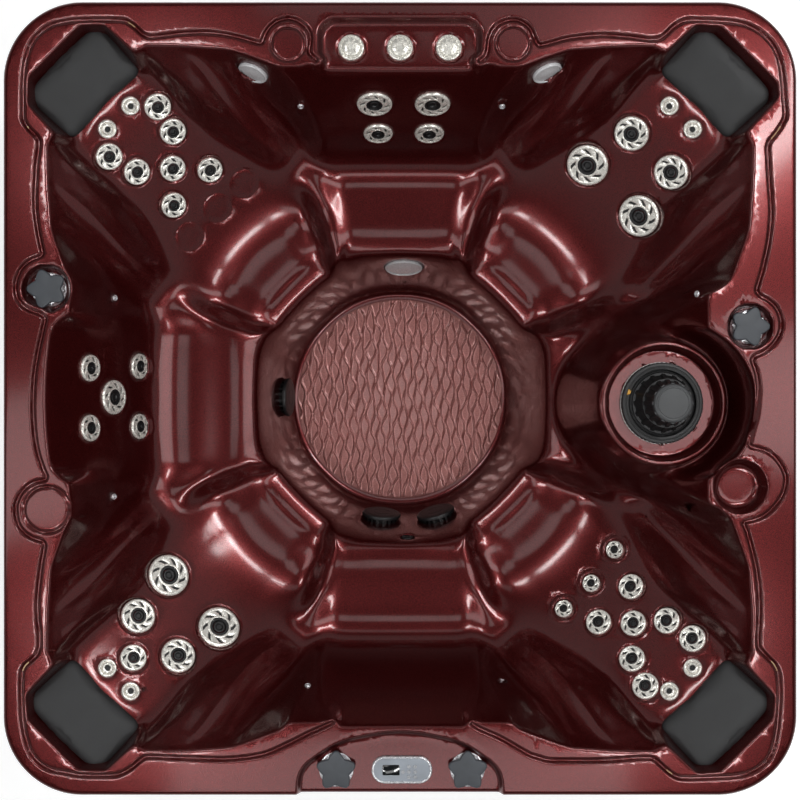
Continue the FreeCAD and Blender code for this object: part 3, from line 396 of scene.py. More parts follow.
def placed(name: str, data: bpy.types.ID) -> Thing:
    """A new object in the scene."""
    made = bpy.data.objects.new(name, data)
    bpy.context.scene.collection.objects.link(made)
    return made


def evaluated_mesh(holder: Thing) -> Mesh:
    """Plain mesh of an object with its modifiers worked out."""
    dependency = bpy.context.evaluated_depsgraph_get()
    return bpy.data.meshes.new_from_object(holder.evaluated_get(dependency))


def vertex_values(mesh: Mesh, key: str = "co") -> Array:
    """Places, or other threes of numbers, of all a mesh's vertices."""
    raw = np.empty(len(mesh.vertices) * 3, dtype=np.float32)
    mesh.vertices.foreach_get(key, raw)
    return raw.reshape(-1, 3).astype(float)


def bands(count: int, size: int, closed: bool = False) -> Faces:
    """Four-sided faces between loops of points.

    Args:
        count: how many loops.
        size: points in each loop.
        closed: whether the last loop joins the first.

    Returns:
        The faces, loop by loop.
    """
    faces = []
    for row in range(count if closed else count - 1):
        after = (row + 1) % count
        for k in range(size):
            n = (k + 1) % size
            faces.append((row * size + k, row * size + n, after * size + n, after * size + k))
    return faces


def scaled(shares: tuple[Pair, ...], radius: float, height: float = 1.0) -> Profile:
    """A profile from shares of a radius and of a height."""
    return [(out * radius, up * height) for out, up in shares]


def moving(frame: dict, word: str) -> list[tuple[str, str]]:
    """Each body whose first node has a word in its name, with that node."""
    bodies = frame["record"]["behaviour"]["bodies"]
    return [(body, parts[0]) for body, parts in bodies.items() if word in parts[0]]


def over(low: Triple, high: Triple) -> Matrix:
    """Move to the middle of a box in plan."""
    return Matrix.Translation(((low[0] + high[0]) / 2, (low[1] + high[1]) / 2, 0))


@dataclass
class Form:
    """Points and faces of a piece before it becomes a mesh; each face has a finish number."""

    points: list[Triple] = field(default_factory=list)
    faces: Faces = field(default_factory=list)
    finish: list[int] = field(default_factory=list)

    def add(self, points: list, faces: list, finish: int | list[int] = 0) -> "Form":
        """Appends points and faces; a list of finishes gives one for each face."""
        start = len(self.points)
        self.points.extend(tuple(p) for p in points)
        self.faces.extend(tuple(i + start for i in f) for f in faces)
        self.finish.extend(finish if isinstance(finish, list) else [finish] * len(faces))
        return self

    def join(self, other: "Form", place: Matrix | None = None) -> "Form":
        """Appends another form, moved by a matrix where one is given."""
        points = other.points
        if place is not None:
            points = [tuple(place @ Vector(p)) for p in points]
        return self.add(points, other.faces, list(other.finish))

    def lathe(self, profile: Profile, segments: int, finish: int = 0) -> "Form":
        """Turns a profile of (radius, height) about +Z; it runs from the outside bottom up and in.

        Args:
            profile: corner points; a radius of 0 makes a pole.
            segments: steps round the axis.
            finish: number that the new faces carry.

        Returns:
            The form itself.
        """
        points: list[Triple] = []
        rows: list[list[int]] = []
        for radius, height in profile:
            if radius <= TINY:
                rows.append([len(points)] * segments)
                points.append((0.0, 0.0, height))
                continue
            rows.append(list(range(len(points), len(points) + segments)))
            for k in range(segments):
                angle = 2 * math.pi * k / segments
                points.append((radius * math.cos(angle), radius * math.sin(angle), height))
        faces = []
        for low, high in zip(rows, rows[1:]):
            for k in range(segments):
                n = (k + 1) % segments
                corner = []
                for i in (low[k], low[n], high[n], high[k]):
                    if i not in corner:
                        corner.append(i)
                if len(corner) > 2:
                    faces.append(tuple(corner))
        return self.add(points, faces, finish)

    def piece(self, name: str, materials: list[Material], body: str, slot: str,
              smooth: float = 35.0) -> Thing:
        """Makes the mesh object and lets it ride on a body.

        Args:
            name: the piece's name.
            materials: one for each finish number.
            body: the body it moves with.
            slot: the record's material slot; not used.
            smooth: edges sharper than this many degrees stay crisp.

        Returns:
            The new object.
        """
        mesh = bpy.data.meshes.new(name)
        mesh.from_pydata(self.points, [], self.faces)
        for material in materials:
            mesh.materials.append(material)
        mesh.polygons.foreach_set("material_index", self.finish)
        mesh.polygons.foreach_set("use_smooth", [True] * len(self.faces))
        mesh.update()
        mesh.set_sharp_from_angle(angle=math.radians(smooth))
        made = placed(name, mesh)
        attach(made, body)
        LOG.info("%s: %d faces on %s", name, len(self.faces), body)
        return made


def solid_points(node: Thing) -> Solid:
    """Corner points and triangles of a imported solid, with equal points merged."""
    mesh = node.data
    mesh.calc_loop_triangles()
    triangles = np.empty(len(mesh.loop_triangles) * 3, dtype=np.int64)
    mesh.loop_triangles.foreach_get("vertices", triangles)
    keys = np.round(vertex_values(mesh), 6)
    points, index = np.unique(keys, axis=0, return_inverse=True)
    return points, index.reshape(-1)[triangles].reshape(-1, 3)


def islands(node: Thing) -> list[Solid]:
    """The separate solids of a node, each as its points and triangles."""
    points, triangles = solid_points(node)
    label = np.arange(len(points))
    while True:
        low = label[triangles].min(axis=1)
        new = label.copy()
        for corner in range(3):
            np.minimum.at(new, triangles[:, corner], low)
        if np.array_equal(new, label):
            break
        label = new
    found = []
    for mark in np.unique(label[triangles[:, 0]]):
        chosen = triangles[label[triangles[:, 0]] == mark]
        found.append((points, chosen))
    return found


def facets(points: Array, triangles: Array) -> tuple[Array, Array]:
    """Normals of triangles, as long as twice their areas, and those lengths."""
    corners = points[triangles]
    normal = np.cross(corners[:, 1] - corners[:, 0], corners[:, 2] - corners[:, 0])
    return normal, np.linalg.norm(normal, axis=1)


def axis_frame(point: Vector, axis: Vector) -> Matrix:
    """Matrix that stands +Z along an axis at a point, with +X level."""
    z = axis.normalized()
    x = Vector((z.y, -z.x, 0.0))
    x = x.normalized() if x.length > 1e-6 else Vector((1.0, 0.0, 0.0))
    y = z.cross(x)
    turn = Matrix((x, y, z)).transposed().to_4x4()
    return Matrix.Translation(point) @ turn


def round_seat(solid: Solid, height: float, outward: bool = False) -> tuple[Matrix, float]:
    """Where a round fitting sits, from its solid.

    Args:
        solid: points and triangles of one fitting.
        height: how far its top stands above the pocket's floor.
        outward: whether it faces out of the cabinet; otherwise it faces up into the tub.

    Returns:
        A matrix with +Z out of the wall and its origin on the pocket's floor, and the fitting's radius.
    """
    points, triangles = solid
    normal, area = facets(points, triangles)
    centre = (points[triangles].mean(axis=1) * area[:, None]).sum(axis=0) / area.sum()
    spread = np.einsum("n,ni,nj->ij", 1.0 / np.maximum(area, 1e-12), normal, normal)
    values, vectors = np.linalg.eigh(spread)
    odd = 0 if values[1] - values[0] > values[2] - values[1] else 2
    axis = vectors[:, odd]
    facing = axis[:2] @ centre[:2] if outward else axis[2]
    axis = axis if facing > 0 else -axis
    used = points[np.unique(triangles)]
    along = (used - centre) @ axis
    across = used - centre - np.outer(along, axis)
    middle = centre + (across.min(axis=0) + across.max(axis=0)) / 2
    radius = np.linalg.norm(used - middle - np.outer((used - middle) @ axis, axis), axis=1).max()
    floor = middle + axis * (along.max() - (middle - centre) @ axis - height)
    return axis_frame(Vector(floor), Vector(axis)), float(radius)


def box_blur(grid: Array, reach: int) -> Array:
    """Mean over a square window, edges repeated."""
    for axis in (0, 1):
        pad = [(reach + 1, reach) if a == axis else (0, 0) for a in (0, 1)]
        total = np.cumsum(np.pad(grid, pad, mode="edge"), axis=axis)
        size = 2 * reach + 1
        if axis == 0:
            grid = (total[size:] - total[:-size]) / size
        else:
            grid = (total[:, size:] - total[:, :-size]) / size
    return grid


def soften(grid: Array, sigma: float) -> Array:
    """Blur close to a Gaussian of sigma cells, from three box blurs."""
    reach = max(1, round((math.sqrt(4 * sigma * sigma + 1) - 1) / 2))
    for _ in range(3):
        grid = box_blur(grid, reach)
    return grid


def step_smooth(low: float, high: float, value: Array) -> Array:
    """Smooth step from 0 at low to 1 at high."""
    t = np.clip((value - low) / (high - low), 0.0, 1.0)
    return t * t * (3 - 2 * t)


def between(rise: Pair, fall: Pair, value: Array) -> Array:
    """Smooth hump that rises over one stretch and falls over another."""
    return step_smooth(*rise, value) * (1 - step_smooth(*fall, value))


def smooth_track(places: Plan, spacing: float = 0.002, window: int = 7) -> Array:
    """Even run of points on a soft curve through places in millimetres.

    Args:
        places: plan points.
        spacing: metres between the points of the run.
        window: points that are averaged, an odd number.

    Returns:
        The run's points in metres.
    """
    spots = np.array(places, dtype=float) * MM
    held = np.concatenate([2 * spots[:1] - spots[1:2], spots, 2 * spots[-1:] - spots[-2:-1]])
    run = []
    for a, b, c, d in zip(held, held[1:], held[2:], held[3:]):
        count = max(2, int(np.linalg.norm(c - b) / spacing))
        t = np.linspace(0, 1, count, endpoint=False)[:, None]
        square = (2 * a - 5 * b + 4 * c - d) * t ** 2
        cube = (3 * b - a - 3 * c + d) * t ** 3
        run.append(0.5 * (2 * b + (c - a) * t + square + cube))
    track = np.concatenate([*run, spots[-1:]])
    weight = np.ones(window) / window
    padded = np.pad(track, ((window // 2, window // 2), (0, 0)), mode="edge")
    return np.stack([np.convolve(padded[:, k], weight, mode="valid") for k in (0, 1)], axis=1)


@dataclass(frozen=True)
class Relief:
    """Lines formed in the sheet: the deck's channel, the pleats between seats and benches, and rings."""

    channel: tuple[Plan, ...] = (
        ((-1012, 752), (-1012, 800), (-1011, 854), (-1005, 908), (-989, 953), (-965, 983), (-938, 1001),
         (-912, 1009), (-858, 1016), (-751, 1016), (-724, 1007), (-705, 991), (-689, 977), (-676, 972),
         (-657, 972), (-590, 980), (-536, 983), (-496, 981), (-456, 975), (-416, 965), (-375, 954), (-369, 958),
         (-363, 975), (-351, 996), (-332, 1012), (-308, 1020), (-292, 1020), (-271, 1012), (-252, 996),
         (-241, 975), (-241, 953), (-244, 934), (-241, 924), (-223, 908)),
        ((-1012, 752), (-1005, 736), (-992, 720), (-976, 704), (-969, 690), (-971, 666), (-976, 626), (-980, 532),
         (-976, 479), (-967, 425), (-960, 387), (-976, 377), (-1000, 366), (-1019, 345), (-1030, 318),
         (-1032, 296), (-1027, 269), (-1011, 248), (-987, 235), (-965, 227), (-952, 216), (-954, 205), (-962, 170),
         (-973, 117), (-981, 63), (-985, -4), (-984, -58), (-979, -111), (-971, -151), (-957, -192), (-949, -210),
         (-954, -219), (-979, -224), (-1000, -235), (-1019, -256), (-1030, -280), (-1032, -299), (-1027, -331),
         (-1011, -358), (-987, -374), (-962, -382), (-954, -393), (-957, -412), (-965, -460), (-973, -540),
         (-972, -594), (-968, -634), (-968, -669)),
        ((-968, -669), (-976, -688), (-992, -704), (-1011, -723), (-1016, -755), (-1016, -808), (-1013, -862),
         (-1005, -910), (-989, -953), (-965, -980), (-938, -996), (-898, -1004), (-858, -1011), (-804, -1012),
         (-764, -1011), (-737, -1001), (-716, -988), (-697, -971), (-676, -962), (-590, -965), (-483, -968),
         (-429, -965), (-381, -958), (-349, -949), (-295, -924), (-241, -897), (-214, -885), (-180, -869)),
        ((193, -873), (214, -886), (268, -910), (322, -941), (349, -956), (375, -964), (402, -971), (456, -972),
         (536, -972), (590, -969), (643, -965), (670, -965), (684, -969), (702, -985), (724, -1004), (745, -1016),
         (777, -1019), (885, -1015), (925, -1009), (960, -993), (987, -969), (1003, -934), (1011, -897),
         (1016, -849), (1019, -795), (1016, -741), (1005, -714), (987, -696), (968, -674), (962, -661),
         (965, -580), (965, -540)),
        ((965, -540), (961, -487), (952, -433), (938, -379), (928, -347), (922, -336), (928, -330), (957, -323),
         (984, -310), (1011, -283), (1030, -251), (1036, -219), (1030, -192), (1013, -165), (992, -146),
         (965, -135), (944, -130), (938, -122), (946, -84), (957, -44), (962, 9), (962, 36), (957, 71), (946, 103),
         (954, 114), (981, 127), (1005, 149), (1021, 178), (1023, 210), (1011, 243), (989, 264), (965, 277),
         (958, 288), (960, 302), (973, 345), (984, 393), (992, 438), (997, 505), (992, 586), (989, 639),
         (987, 672)),
        ((987, 672), (992, 690), (1011, 714), (1027, 739), (1035, 760), (1032, 800), (1028, 854), (1021, 902),
         (1005, 942), (981, 972), (952, 993), (917, 1007), (871, 1013), (804, 1016), (772, 1016), (751, 1009),
         (732, 996), (713, 977), (697, 967), (670, 964), (617, 971), (536, 976), (456, 968), (416, 958),
         (375, 948), (367, 956), (359, 972), (351, 991), (338, 1005), (319, 1015), (300, 1017), (282, 1013),
         (263, 1004), (247, 985), (239, 961), (236, 934), (228, 916), (214, 906)),
    )
    channel_half: float = 0.0092
    channel_depth: float = 0.0095
    channel_floor: float = 0.0008
    pleats: tuple[Plan, ...] = (
        ((-582, 950), (-538, 893), (-493, 832), (-437, 769), (-358, 724), (-269, 685), (-213, 657)),
        ((-470, 905), (-440, 850), (-386, 794), (-308, 752), (-224, 715)),
        ((-653, 899), (-616, 844), (-570, 802), (-464, 747), (-383, 712), (-298, 663), (-246, 595), (-226, 463)),
        ((-907, 642), (-834, 593), (-784, 556), (-741, 494), (-696, 407), (-664, 350), (-626, 299), (-540, 250),
         (-468, 243)),
        ((-949, 578), (-900, 553), (-851, 505), (-795, 433), (-739, 365), (-689, 276), (-650, 248)),
        ((-938, 489), (-890, 464), (-840, 421), (-784, 365), (-728, 309), (-694, 270)),
    )
    pleat_half: float = 0.011
    pleat_rise: float = 0.005
    deck_rings: tuple[RingLine, ...] = (
        (-0.300, 0.952, 0.046, 0.0032, 0.0050),
        (0.303, 0.953, 0.046, 0.0032, 0.0050),
        (-0.948, -0.298, 0.0615, 0.0042, 0.0070),
    )
    pads: tuple[Pair, ...] = ((-0.636, 0.491), (-0.553, 0.578), (-0.471, 0.650))
    pad_line: Pair = (0.0032, 0.0018)

    def channel_tracks(self) -> list[Array]:
        """The channel's runs as soft curves."""
        return [smooth_track(run) for run in self.channel]

    def scored(self) -> list[RingLine]:
        """All the ring lines of the deck and the back left seat."""
        return [*self.deck_rings, *((x, y, PAD_RADIUS, *self.pad_line) for x, y in self.pads)]

    @staticmethod
    def nearness(line: Array, tracks: list[Array], reach: float) -> Array:
        """Distance of each grid point to the nearest track, up to a reach.

        Args:
            line: the grid's lines, the same both ways.
            tracks: runs of plan points.
            reach: beyond this the distance isn't worked out.

        Returns:
            A grid of distances; far points hold 1.
        """
        step = line[1] - line[0]
        cells = int(reach / step) + 2
        near = np.ones((len(line), len(line)))
        for x, y in np.concatenate(tracks):
            column = int(round((x - line[0]) / step))
            row = int(round((y - line[0]) / step))
            rows = slice(max(0, row - cells), max(0, row + cells + 1))
            columns = slice(max(0, column - cells), max(0, column + cells + 1))
            part = near[rows, columns]
            np.minimum(part, np.hypot(line[columns][None, :] - x, line[rows][:, None] - y), out=part)
        return near

    def carve(self, grid: Array, line: Array) -> None:
        """Sinks the deck's channel into the grid."""
        near = self.nearness(line, self.channel_tracks(), self.channel_half)
        grid -= self.channel_depth * (1 - step_smooth(self.channel_floor, self.channel_half, near))

    def raised(self, line: Array) -> Array:
        """Height of the pleats on each grid point, the same at all four corners."""
        tracks = []
        for run in self.pleats:
            for sx, sy in CORNERS:
                tracks.append(smooth_track(tuple((sx * x, sy * y) for x, y in run)))
        near = self.nearness(line, tracks, 2.2 * self.pleat_half)
        return self.pleat_rise * np.exp(-(near / self.pleat_half) ** 2)


@dataclass
class Shell:
    """The formed sheet: deck, seats, benches, footwell and the lip that turns down.

    Lengths are in metres. A Pair is where a smooth change starts and ends, unless its name says otherwise.
    """

    half: float = 1.067
    corner: float = 0.214
    rim: float = 0.914
    cells: int = 854
    roll: float = 0.014
    skirt_foot: float = 0.859
    sheet: float = 0.009
    underside_share: int = 7
    lattice: int = 6
    triangles: int = 186000
    ray_height: float = 1.2
    fill_rounds: int = 8
    canister_radius: float = 0.100
    canister_depth: float = 0.30
    well_reach: float = 0.196
    well_step: float = 0.002
    well_flat: float = 0.022
    draw_in: float = 0.026
    draw_middle: float = 0.965
    draw_spread: float = 0.085
    draw_width: tuple[Pair, Pair] = ((0.0, 0.16), (0.19, 0.34))
    seat_length: tuple[Pair, Pair] = ((0.42, 0.52), (0.92, 1.06))
    seat_width: Pair = (0.09, 0.19)
    rim_draw: float = 0.020
    rim_zone: tuple[Pair, Pair] = ((0.398, 0.440), (0.475, 0.62))
    rim_reach: float = 0.437
    bead_drop: float = 0.024
    bead_width: float = 0.100
    bead_depth: Pair = (0.53, 0.72)
    deck_snap: float = 0.0065
    channel_bed: float = 0.021
    channel_search: float = 0.024
    channel_below: float = 0.13
    blurs: tuple[float, ...] = (0.002, 0.004, 0.008, 0.014, 0.022, 0.032, 0.045)
    depth_blur: float = 0.010
    soft_by_depth: tuple[tuple[float, Pair], ...] = (
        (0.005, (0.002, 0.03)), (0.012, (0.05, 0.15)), (0.007, (0.15, 0.30)))
    seat_soft: float = 0.022
    filter_soft: float = 0.004
    filter_zone: Pair = (0.172, 0.222)
    foot_soft: float = 0.012
    foot_zone: Pair = (0.45, 0.53)
    zone_blur: float = 0.012
    bench_soft: float = 0.029
    bench_zone: tuple[Pair, Pair] = ((0.50, 0.57), (0.62, 0.74))
    pleat_depth: tuple[Pair, Pair] = ((0.02, 0.07), (0.26, 0.38))
    pleat_away: Pair = (0.20, 0.30)
    pillow_front: float = 1.150
    pillow_back: float = 1.306
    pillow_half: float = 0.135
    pillow_bend: float = 0.034
    pillow_beside: float = 0.05
    relief: Relief = Relief()
    pockets: list[Pocket] = field(default_factory=list)
    rings: list[RingLine] = field(default_factory=list)

    def __post_init__(self) -> None:
        """Sets the grid's lines."""
        self.line = np.linspace(-self.half, self.half, self.cells + 1)
        self.step = self.line[1] - self.line[0]
        self.gx, self.gy = np.meshgrid(self.line, self.line)

    def edge_distance(self, x: Array, y: Array) -> Array:
        """Distance in from the lip's outline; below zero outside it."""
        inner = self.half - self.corner
        dx = np.abs(x) - inner
        dy = np.abs(y) - inner
        outside = np.hypot(np.maximum(dx, 0), np.maximum(dy, 0))
        return self.corner - outside - np.minimum(np.maximum(dx, dy), 0)

    def measured(self, node: Thing) -> Array:
        """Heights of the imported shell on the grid, with its holes filled."""
        points, triangles = solid_points(node)
        cast = BVHTree.FromPolygons(points.tolist(), triangles.tolist()).ray_cast
        down = -UP
        heights = np.full((self.cells + 1, self.cells + 1), np.nan)
        for row, y in enumerate(self.line.tolist()):
            for column, x in enumerate(self.line.tolist()):
                spot = cast((x, y, self.ray_height), down)[0]
                if spot is not None:
                    heights[row, column] = spot.z
        outside = self.edge_distance(self.gx, self.gy) < self.step
        for reach in range(1, self.fill_rounds + 1):
            gap = np.isnan(heights)
            if not gap.any():
                break
            weight = soften((~gap).astype(float), reach * 2.0)
            value = soften(np.where(gap, 0.0, heights), reach * 2.0)
            fill = gap & (weight > 0.02)
            heights[fill] = value[fill] / weight[fill]
        heights[np.isnan(heights)] = self.rim
        heights[outside & (heights < self.rim - 0.1)] = self.rim
        return heights

    def formed(self, heights: Array, filter_place: Vector) -> Array:
        """Heights softened as a sheet drawn over a mould, with the fittings' pockets pressed in.

        Args:
            heights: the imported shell's heights.
            filter_place: the middle of the filter well.

        Returns:
            The formed heights.
        """
        away = np.hypot(self.gx - filter_place.x, self.gy - filter_place.y)
        heights = self.turned(self.deepened(self.gathered(heights)), away)
        heights = np.where(heights > self.rim - self.deck_snap, self.rim, heights)
        heights = self.seated(heights)
        beside = self.relief.nearness(self.line, self.relief.channel_tracks(), self.channel_search)
        shallow = heights > self.rim - self.channel_below
        heights = np.where((beside < self.channel_bed) & shallow, self.rim, heights)
        depth = self.rim - soften(heights, self.depth_blur / self.step)
        result = self.blurred(heights, self.softness(depth, away))
        wall = between(*self.pleat_depth, depth) * step_smooth(*self.pleat_away, away)
        result += self.relief.raised(self.line) * wall
        self.relief.carve(result, self.line)
        for pocket in self.pockets:
            self.press(result, *pocket)
        for ring in [*self.relief.scored(), *self.rings]:
            self.score(result, *ring)
        result[away < self.canister_radius] = filter_place.z - self.canister_depth
        distance = np.maximum(self.edge_distance(self.gx, self.gy), 0.0)
        lift = np.minimum(distance, self.roll)
        drop = self.roll - np.sqrt(np.maximum(self.roll ** 2 - (self.roll - lift) ** 2, 0.0))
        return result - drop

    def softness(self, depth: Array, away: Array) -> Array:
        """How broadly the sheet's edges are rounded at each point.

        Args:
            depth: how far each point lies below the rim.
            away: distance of each point from the filter well's axis.

        Returns:
            A blur's reach for each point.
        """
        wanted = np.full_like(depth, self.blurs[0])
        for most, zone in self.soft_by_depth:
            wanted += most * step_smooth(*zone, depth)
        wanted += self.seat_soft * self.seat_middles()
        near = 1.0 - step_smooth(*self.filter_zone, away)
        wanted = wanted * (1 - near) + self.filter_soft * near
        foot = np.hypot(self.gx, self.gy)
        tight = 1 - step_smooth(*self.foot_zone, foot)
        wanted = wanted * (1 - tight) + self.foot_soft * tight
        wanted = np.maximum(wanted, self.bench_soft * between(*self.bench_zone, foot) * (1 - near))
        return soften(wanted, self.zone_blur / self.step)

    def blurred(self, heights: Array, wanted: Array) -> Array:
        """Heights blurred by another reach at each point, mixed from a few even blurs."""
        even = [soften(heights, reach / self.step) for reach in self.blurs]
        result = even[0].copy()
        for low, high, first, second in zip(self.blurs, self.blurs[1:], even, even[1:]):
            share = np.clip((wanted - low) / (high - low), 0, 1)
            result = np.where(wanted > low, first * (1 - share) + second * share, result)
        return result

    def diagonal(self, sx: int, sy: int) -> tuple[Array, Array]:
        """How far each point lies out towards one of the tub's corners, and to its side."""
        return (sx * self.gx + sy * self.gy) / DIAGONAL, (sx * self.gy - sy * self.gx) / DIAGONAL

    def seat_middles(self) -> Array:
        """Share of each point in the hollow of a corner seat, away from its sides."""
        total = np.zeros_like(self.gx)
        for sx, sy in CORNERS:
            out, side = self.diagonal(sx, sy)
            inside = 1 - step_smooth(*self.seat_width, np.abs(side))
            total = np.maximum(total, between(*self.seat_length, out) * inside)
        return total

    def seated(self, heights: Array) -> Array:
        """Brings the deck up to the pillows' sides and backs."""
        back, half, bend = self.pillow_back, self.pillow_half, self.pillow_bend
        for sx, sy in CORNERS:
            out, side = self.diagonal(sx, sy)
            side = np.abs(side)
            far = np.hypot(np.maximum(out - (back - bend), 0), np.maximum(side - (half - bend), 0)) - bend
            beyond = (far > 0) & (out > self.pillow_front) & (side < half + self.pillow_beside)
            heights = np.where(beyond, self.rim, heights)
        return heights

    def gathered(self, heights: Array) -> Array:
        """Draws the seats' sides in below the pillows, so that they run in a double curve."""
        result = heights
        for sx, sy in CORNERS:
            out, side = self.diagonal(sx, sy)
            share = between(*self.draw_width, np.abs(side))
            lengthwise = np.exp(-((out - self.draw_middle) / self.draw_spread) ** 2)
            shift = np.sign(side) * self.draw_in * lengthwise * share
            moved = self.sample(heights, self.gx - sy * shift / DIAGONAL, self.gy + sx * shift / DIAGONAL)
            result = np.where(np.abs(shift) > 1e-5, moved, result)
        return result

    def deepened(self, heights: Array) -> Array:
        """Draws the footwell's eight-sided rim in over its floor and rounds it to a broad bead."""
        far = np.maximum(np.hypot(self.gx, self.gy), 1e-6)
        shift = self.rim_draw * between(*self.rim_zone, far)
        scale = (far + shift) / far
        drawn = np.where(shift > 1e-5, self.sample(heights, self.gx * scale, self.gy * scale), heights)
        turns = [k * math.pi / 4 for k in range(8)]
        reach = np.max([self.gx * math.cos(turn) + self.gy * math.sin(turn) for turn in turns], axis=0)
        inward = np.clip(1 - (reach - self.rim_reach) / self.bead_width, 0, 1)
        return drawn - self.bead_drop * inward ** 2 * (1 - step_smooth(*self.bead_depth, self.rim - drawn))

    def turned(self, heights: Array, away: Array) -> Array:
        """Makes the filter's well truly round where the solid's flats stand close to it.

        Args:
            heights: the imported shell's heights.
            away: distance of each point from the well's axis.

        Returns:
            The heights with a turned well.
        """
        ring = (away > self.canister_radius + 0.004) & (away < self.well_reach)
        flat = heights[ring]
        bins = (away[ring] / self.well_step).astype(int)
        order = np.arange(bins.max() + 1)
        profile = np.array([np.median(flat[bins == k]) if (bins == k).any() else np.nan for k in order])
        known = ~np.isnan(profile)
        even = np.interp(away[ring], (order[known] + 0.5) * self.well_step, profile[known])
        result = heights.copy()
        result[ring] = np.where(np.abs(even - flat) < self.well_flat, even, flat)
        return result

    def window(self, x: float, y: float, reach: float) -> tuple[Array, ...]:
        """The part of the grid within a reach of a point, as an index."""
        return np.ix_(np.abs(self.line - y) < reach, np.abs(self.line - x) < reach)

    def score(self, grid: Array, x: float, y: float, radius: float, width: float, depth: float) -> None:
        """Scores a ring line into the grid, or raises it where the depth is negative."""
        part = self.window(x, y, radius + 3 * width)
        level = self.sample(grid, np.array([x]), np.array([y]))[0]
        far = np.sqrt((self.gx[part] - x) ** 2 + (self.gy[part] - y) ** 2 + (grid[part] - level) ** 2)
        grid[part] -= depth * np.exp(-((far - radius) / width) ** 2)

    def press(self, grid: Array, place: Matrix, radius: float, fillet: float) -> None:
        """Presses one flat round pocket into the grid."""
        centre = place.translation
        normal = place.to_3x3() @ UP
        part = self.window(centre.x, centre.y, radius + fillet * 2)
        dx = self.gx[part] - centre.x
        dy = self.gy[part] - centre.y
        plane = centre.z - (normal.x * dx + normal.y * dy) / max(normal.z, 0.05)
        far = np.sqrt(dx * dx + dy * dy + (plane - centre.z) ** 2)
        share = 1 - step_smooth(radius, radius + fillet, far)
        grid[part] = grid[part] * (1 - share) + plane * share

    def sample(self, grid: Array, x: Array, y: Array) -> Array:
        """Reads the grid between its lines."""
        fx = np.clip((x + self.half) / self.step, 0, self.cells - 1e-6)
        fy = np.clip((y + self.half) / self.step, 0, self.cells - 1e-6)
        ix = fx.astype(int)
        iy = fy.astype(int)
        tx = fx - ix
        ty = fy - iy
        low = grid[iy, ix] * (1 - tx) + grid[iy, ix + 1] * tx
        high = grid[iy + 1, ix] * (1 - tx) + grid[iy + 1, ix + 1] * tx
        return low * (1 - ty) + high * ty

    def warped(self, count: int) -> tuple[Array, Array]:
        """Plan of a square grid drawn in to the lip's round corners."""
        line = np.linspace(-1, 1, count + 1)
        u, v = np.meshgrid(line, line)
        size = np.maximum(np.maximum(np.abs(u), np.abs(v)), TINY)
        eu = np.abs(u) / size * self.half
        ev = np.abs(v) / size * self.half
        inner = self.half - self.corner
        a = np.maximum(eu ** 2 + ev ** 2, TINY)
        b = -2 * inner * (eu + ev)
        c = 2 * inner ** 2 - self.corner ** 2
        root = (-b + np.sqrt(np.maximum(b * b - 4 * a * c, 0))) / (2 * a)
        corner = (np.minimum(eu, ev) * root > inner) & (root < 1)
        shrink = np.where(corner, root, 1.0)
        share = step_smooth(0.55, 1.0, size)
        scale = 1 + (shrink - 1) * share
        return u * self.half * scale, v * self.half * scale

    def kept(self, x: Array, y: Array) -> Array:
        """Grid points that stay when the sheet is thinned: an even lattice and both edges of each line.

        Args:
            x: plan of the sheet's points.
            y: plan of the sheet's points.

        Returns:
            A mark for each point.
        """
        lattice = np.zeros(x.shape, dtype=bool)
        lattice[:: self.lattice, :: self.lattice] = True
        tracks = self.relief.channel_tracks()
        turn = np.linspace(0, 2 * math.pi, 200)
        for px, py, radius, _, _ in self.relief.deck_rings:
            tracks.append(np.stack([px + radius * np.cos(turn), py + radius * np.sin(turn)], axis=1))
        near = self.sample(self.relief.nearness(self.line, tracks, 0.016), x, y)
        half = self.relief.channel_half
        edge = (near > half - 0.0005) & (near < half + 0.004)
        return (lattice | edge).ravel()

    @staticmethod
    def ring(count: int) -> Array:
        """Indices of a square grid's border, anticlockwise."""
        n = count + 1
        bottom = np.arange(0, count)
        right = np.arange(0, count) * n + count
        top = count * n + np.arange(count, 0, -1)
        left = np.arange(count, 0, -1) * n
        return np.concatenate([bottom, right, top, left])

    @staticmethod
    def quads(count: int, start: int, flip: bool) -> Array:
        """Faces of a square grid."""
        n = count + 1
        base = (np.arange(count)[:, None] * n + np.arange(count)[None, :]).ravel() + start
        order = (0, n, n + 1, 1) if flip else (0, 1, n + 1, n)
        return np.stack([base + k for k in order], axis=1)

    @staticmethod
    def strip(upper: Array, lower: Array) -> Array:
        """Faces between two loops of the same length."""
        return np.stack([np.roll(upper, -1), upper, lower, np.roll(lower, -1)], axis=1)

    def skirt(self, edge: Array) -> list[Array]:
        """Loops of points down the lip's outside, round its foot and up its inside."""
        away = edge[:, :2] - np.clip(edge[:, :2], self.corner - self.half, self.half - self.corner)
        away /= np.maximum(np.linalg.norm(away, axis=1, keepdims=True), TINY)
        foot = self.skirt_foot
        levels = ((0.0, foot + 0.012), (0.0, foot + 0.004), (0.0022, foot),
                  (self.sheet, foot), (self.sheet, self.rim - 0.03))
        rows = []
        for inset, level in levels:
            row = edge.copy()
            row[:, :2] -= away * inset
            row[:, 2] = np.minimum(level, edge[:, 2] - 0.004)
            rows.append(row)
        return rows

    def underside(self, heights: Array, count: int) -> Array:
        """Points of the coarser back of the sheet, clear below every dip of its top."""
        x, y = self.warped(count)
        low = heights.copy()
        for _ in range(self.underside_share + 4):
            along_y = np.minimum(low[2:, 1:-1], low[:-2, 1:-1])
            along_x = np.minimum(low[1:-1, 2:], low[1:-1, :-2])
            low[1:-1, 1:-1] = np.minimum(low[1:-1, 1:-1], np.minimum(along_y, along_x))
        z = self.sample(low, x, y) - self.sheet
        return np.stack([x, y, z], axis=-1).reshape(-1, 3)

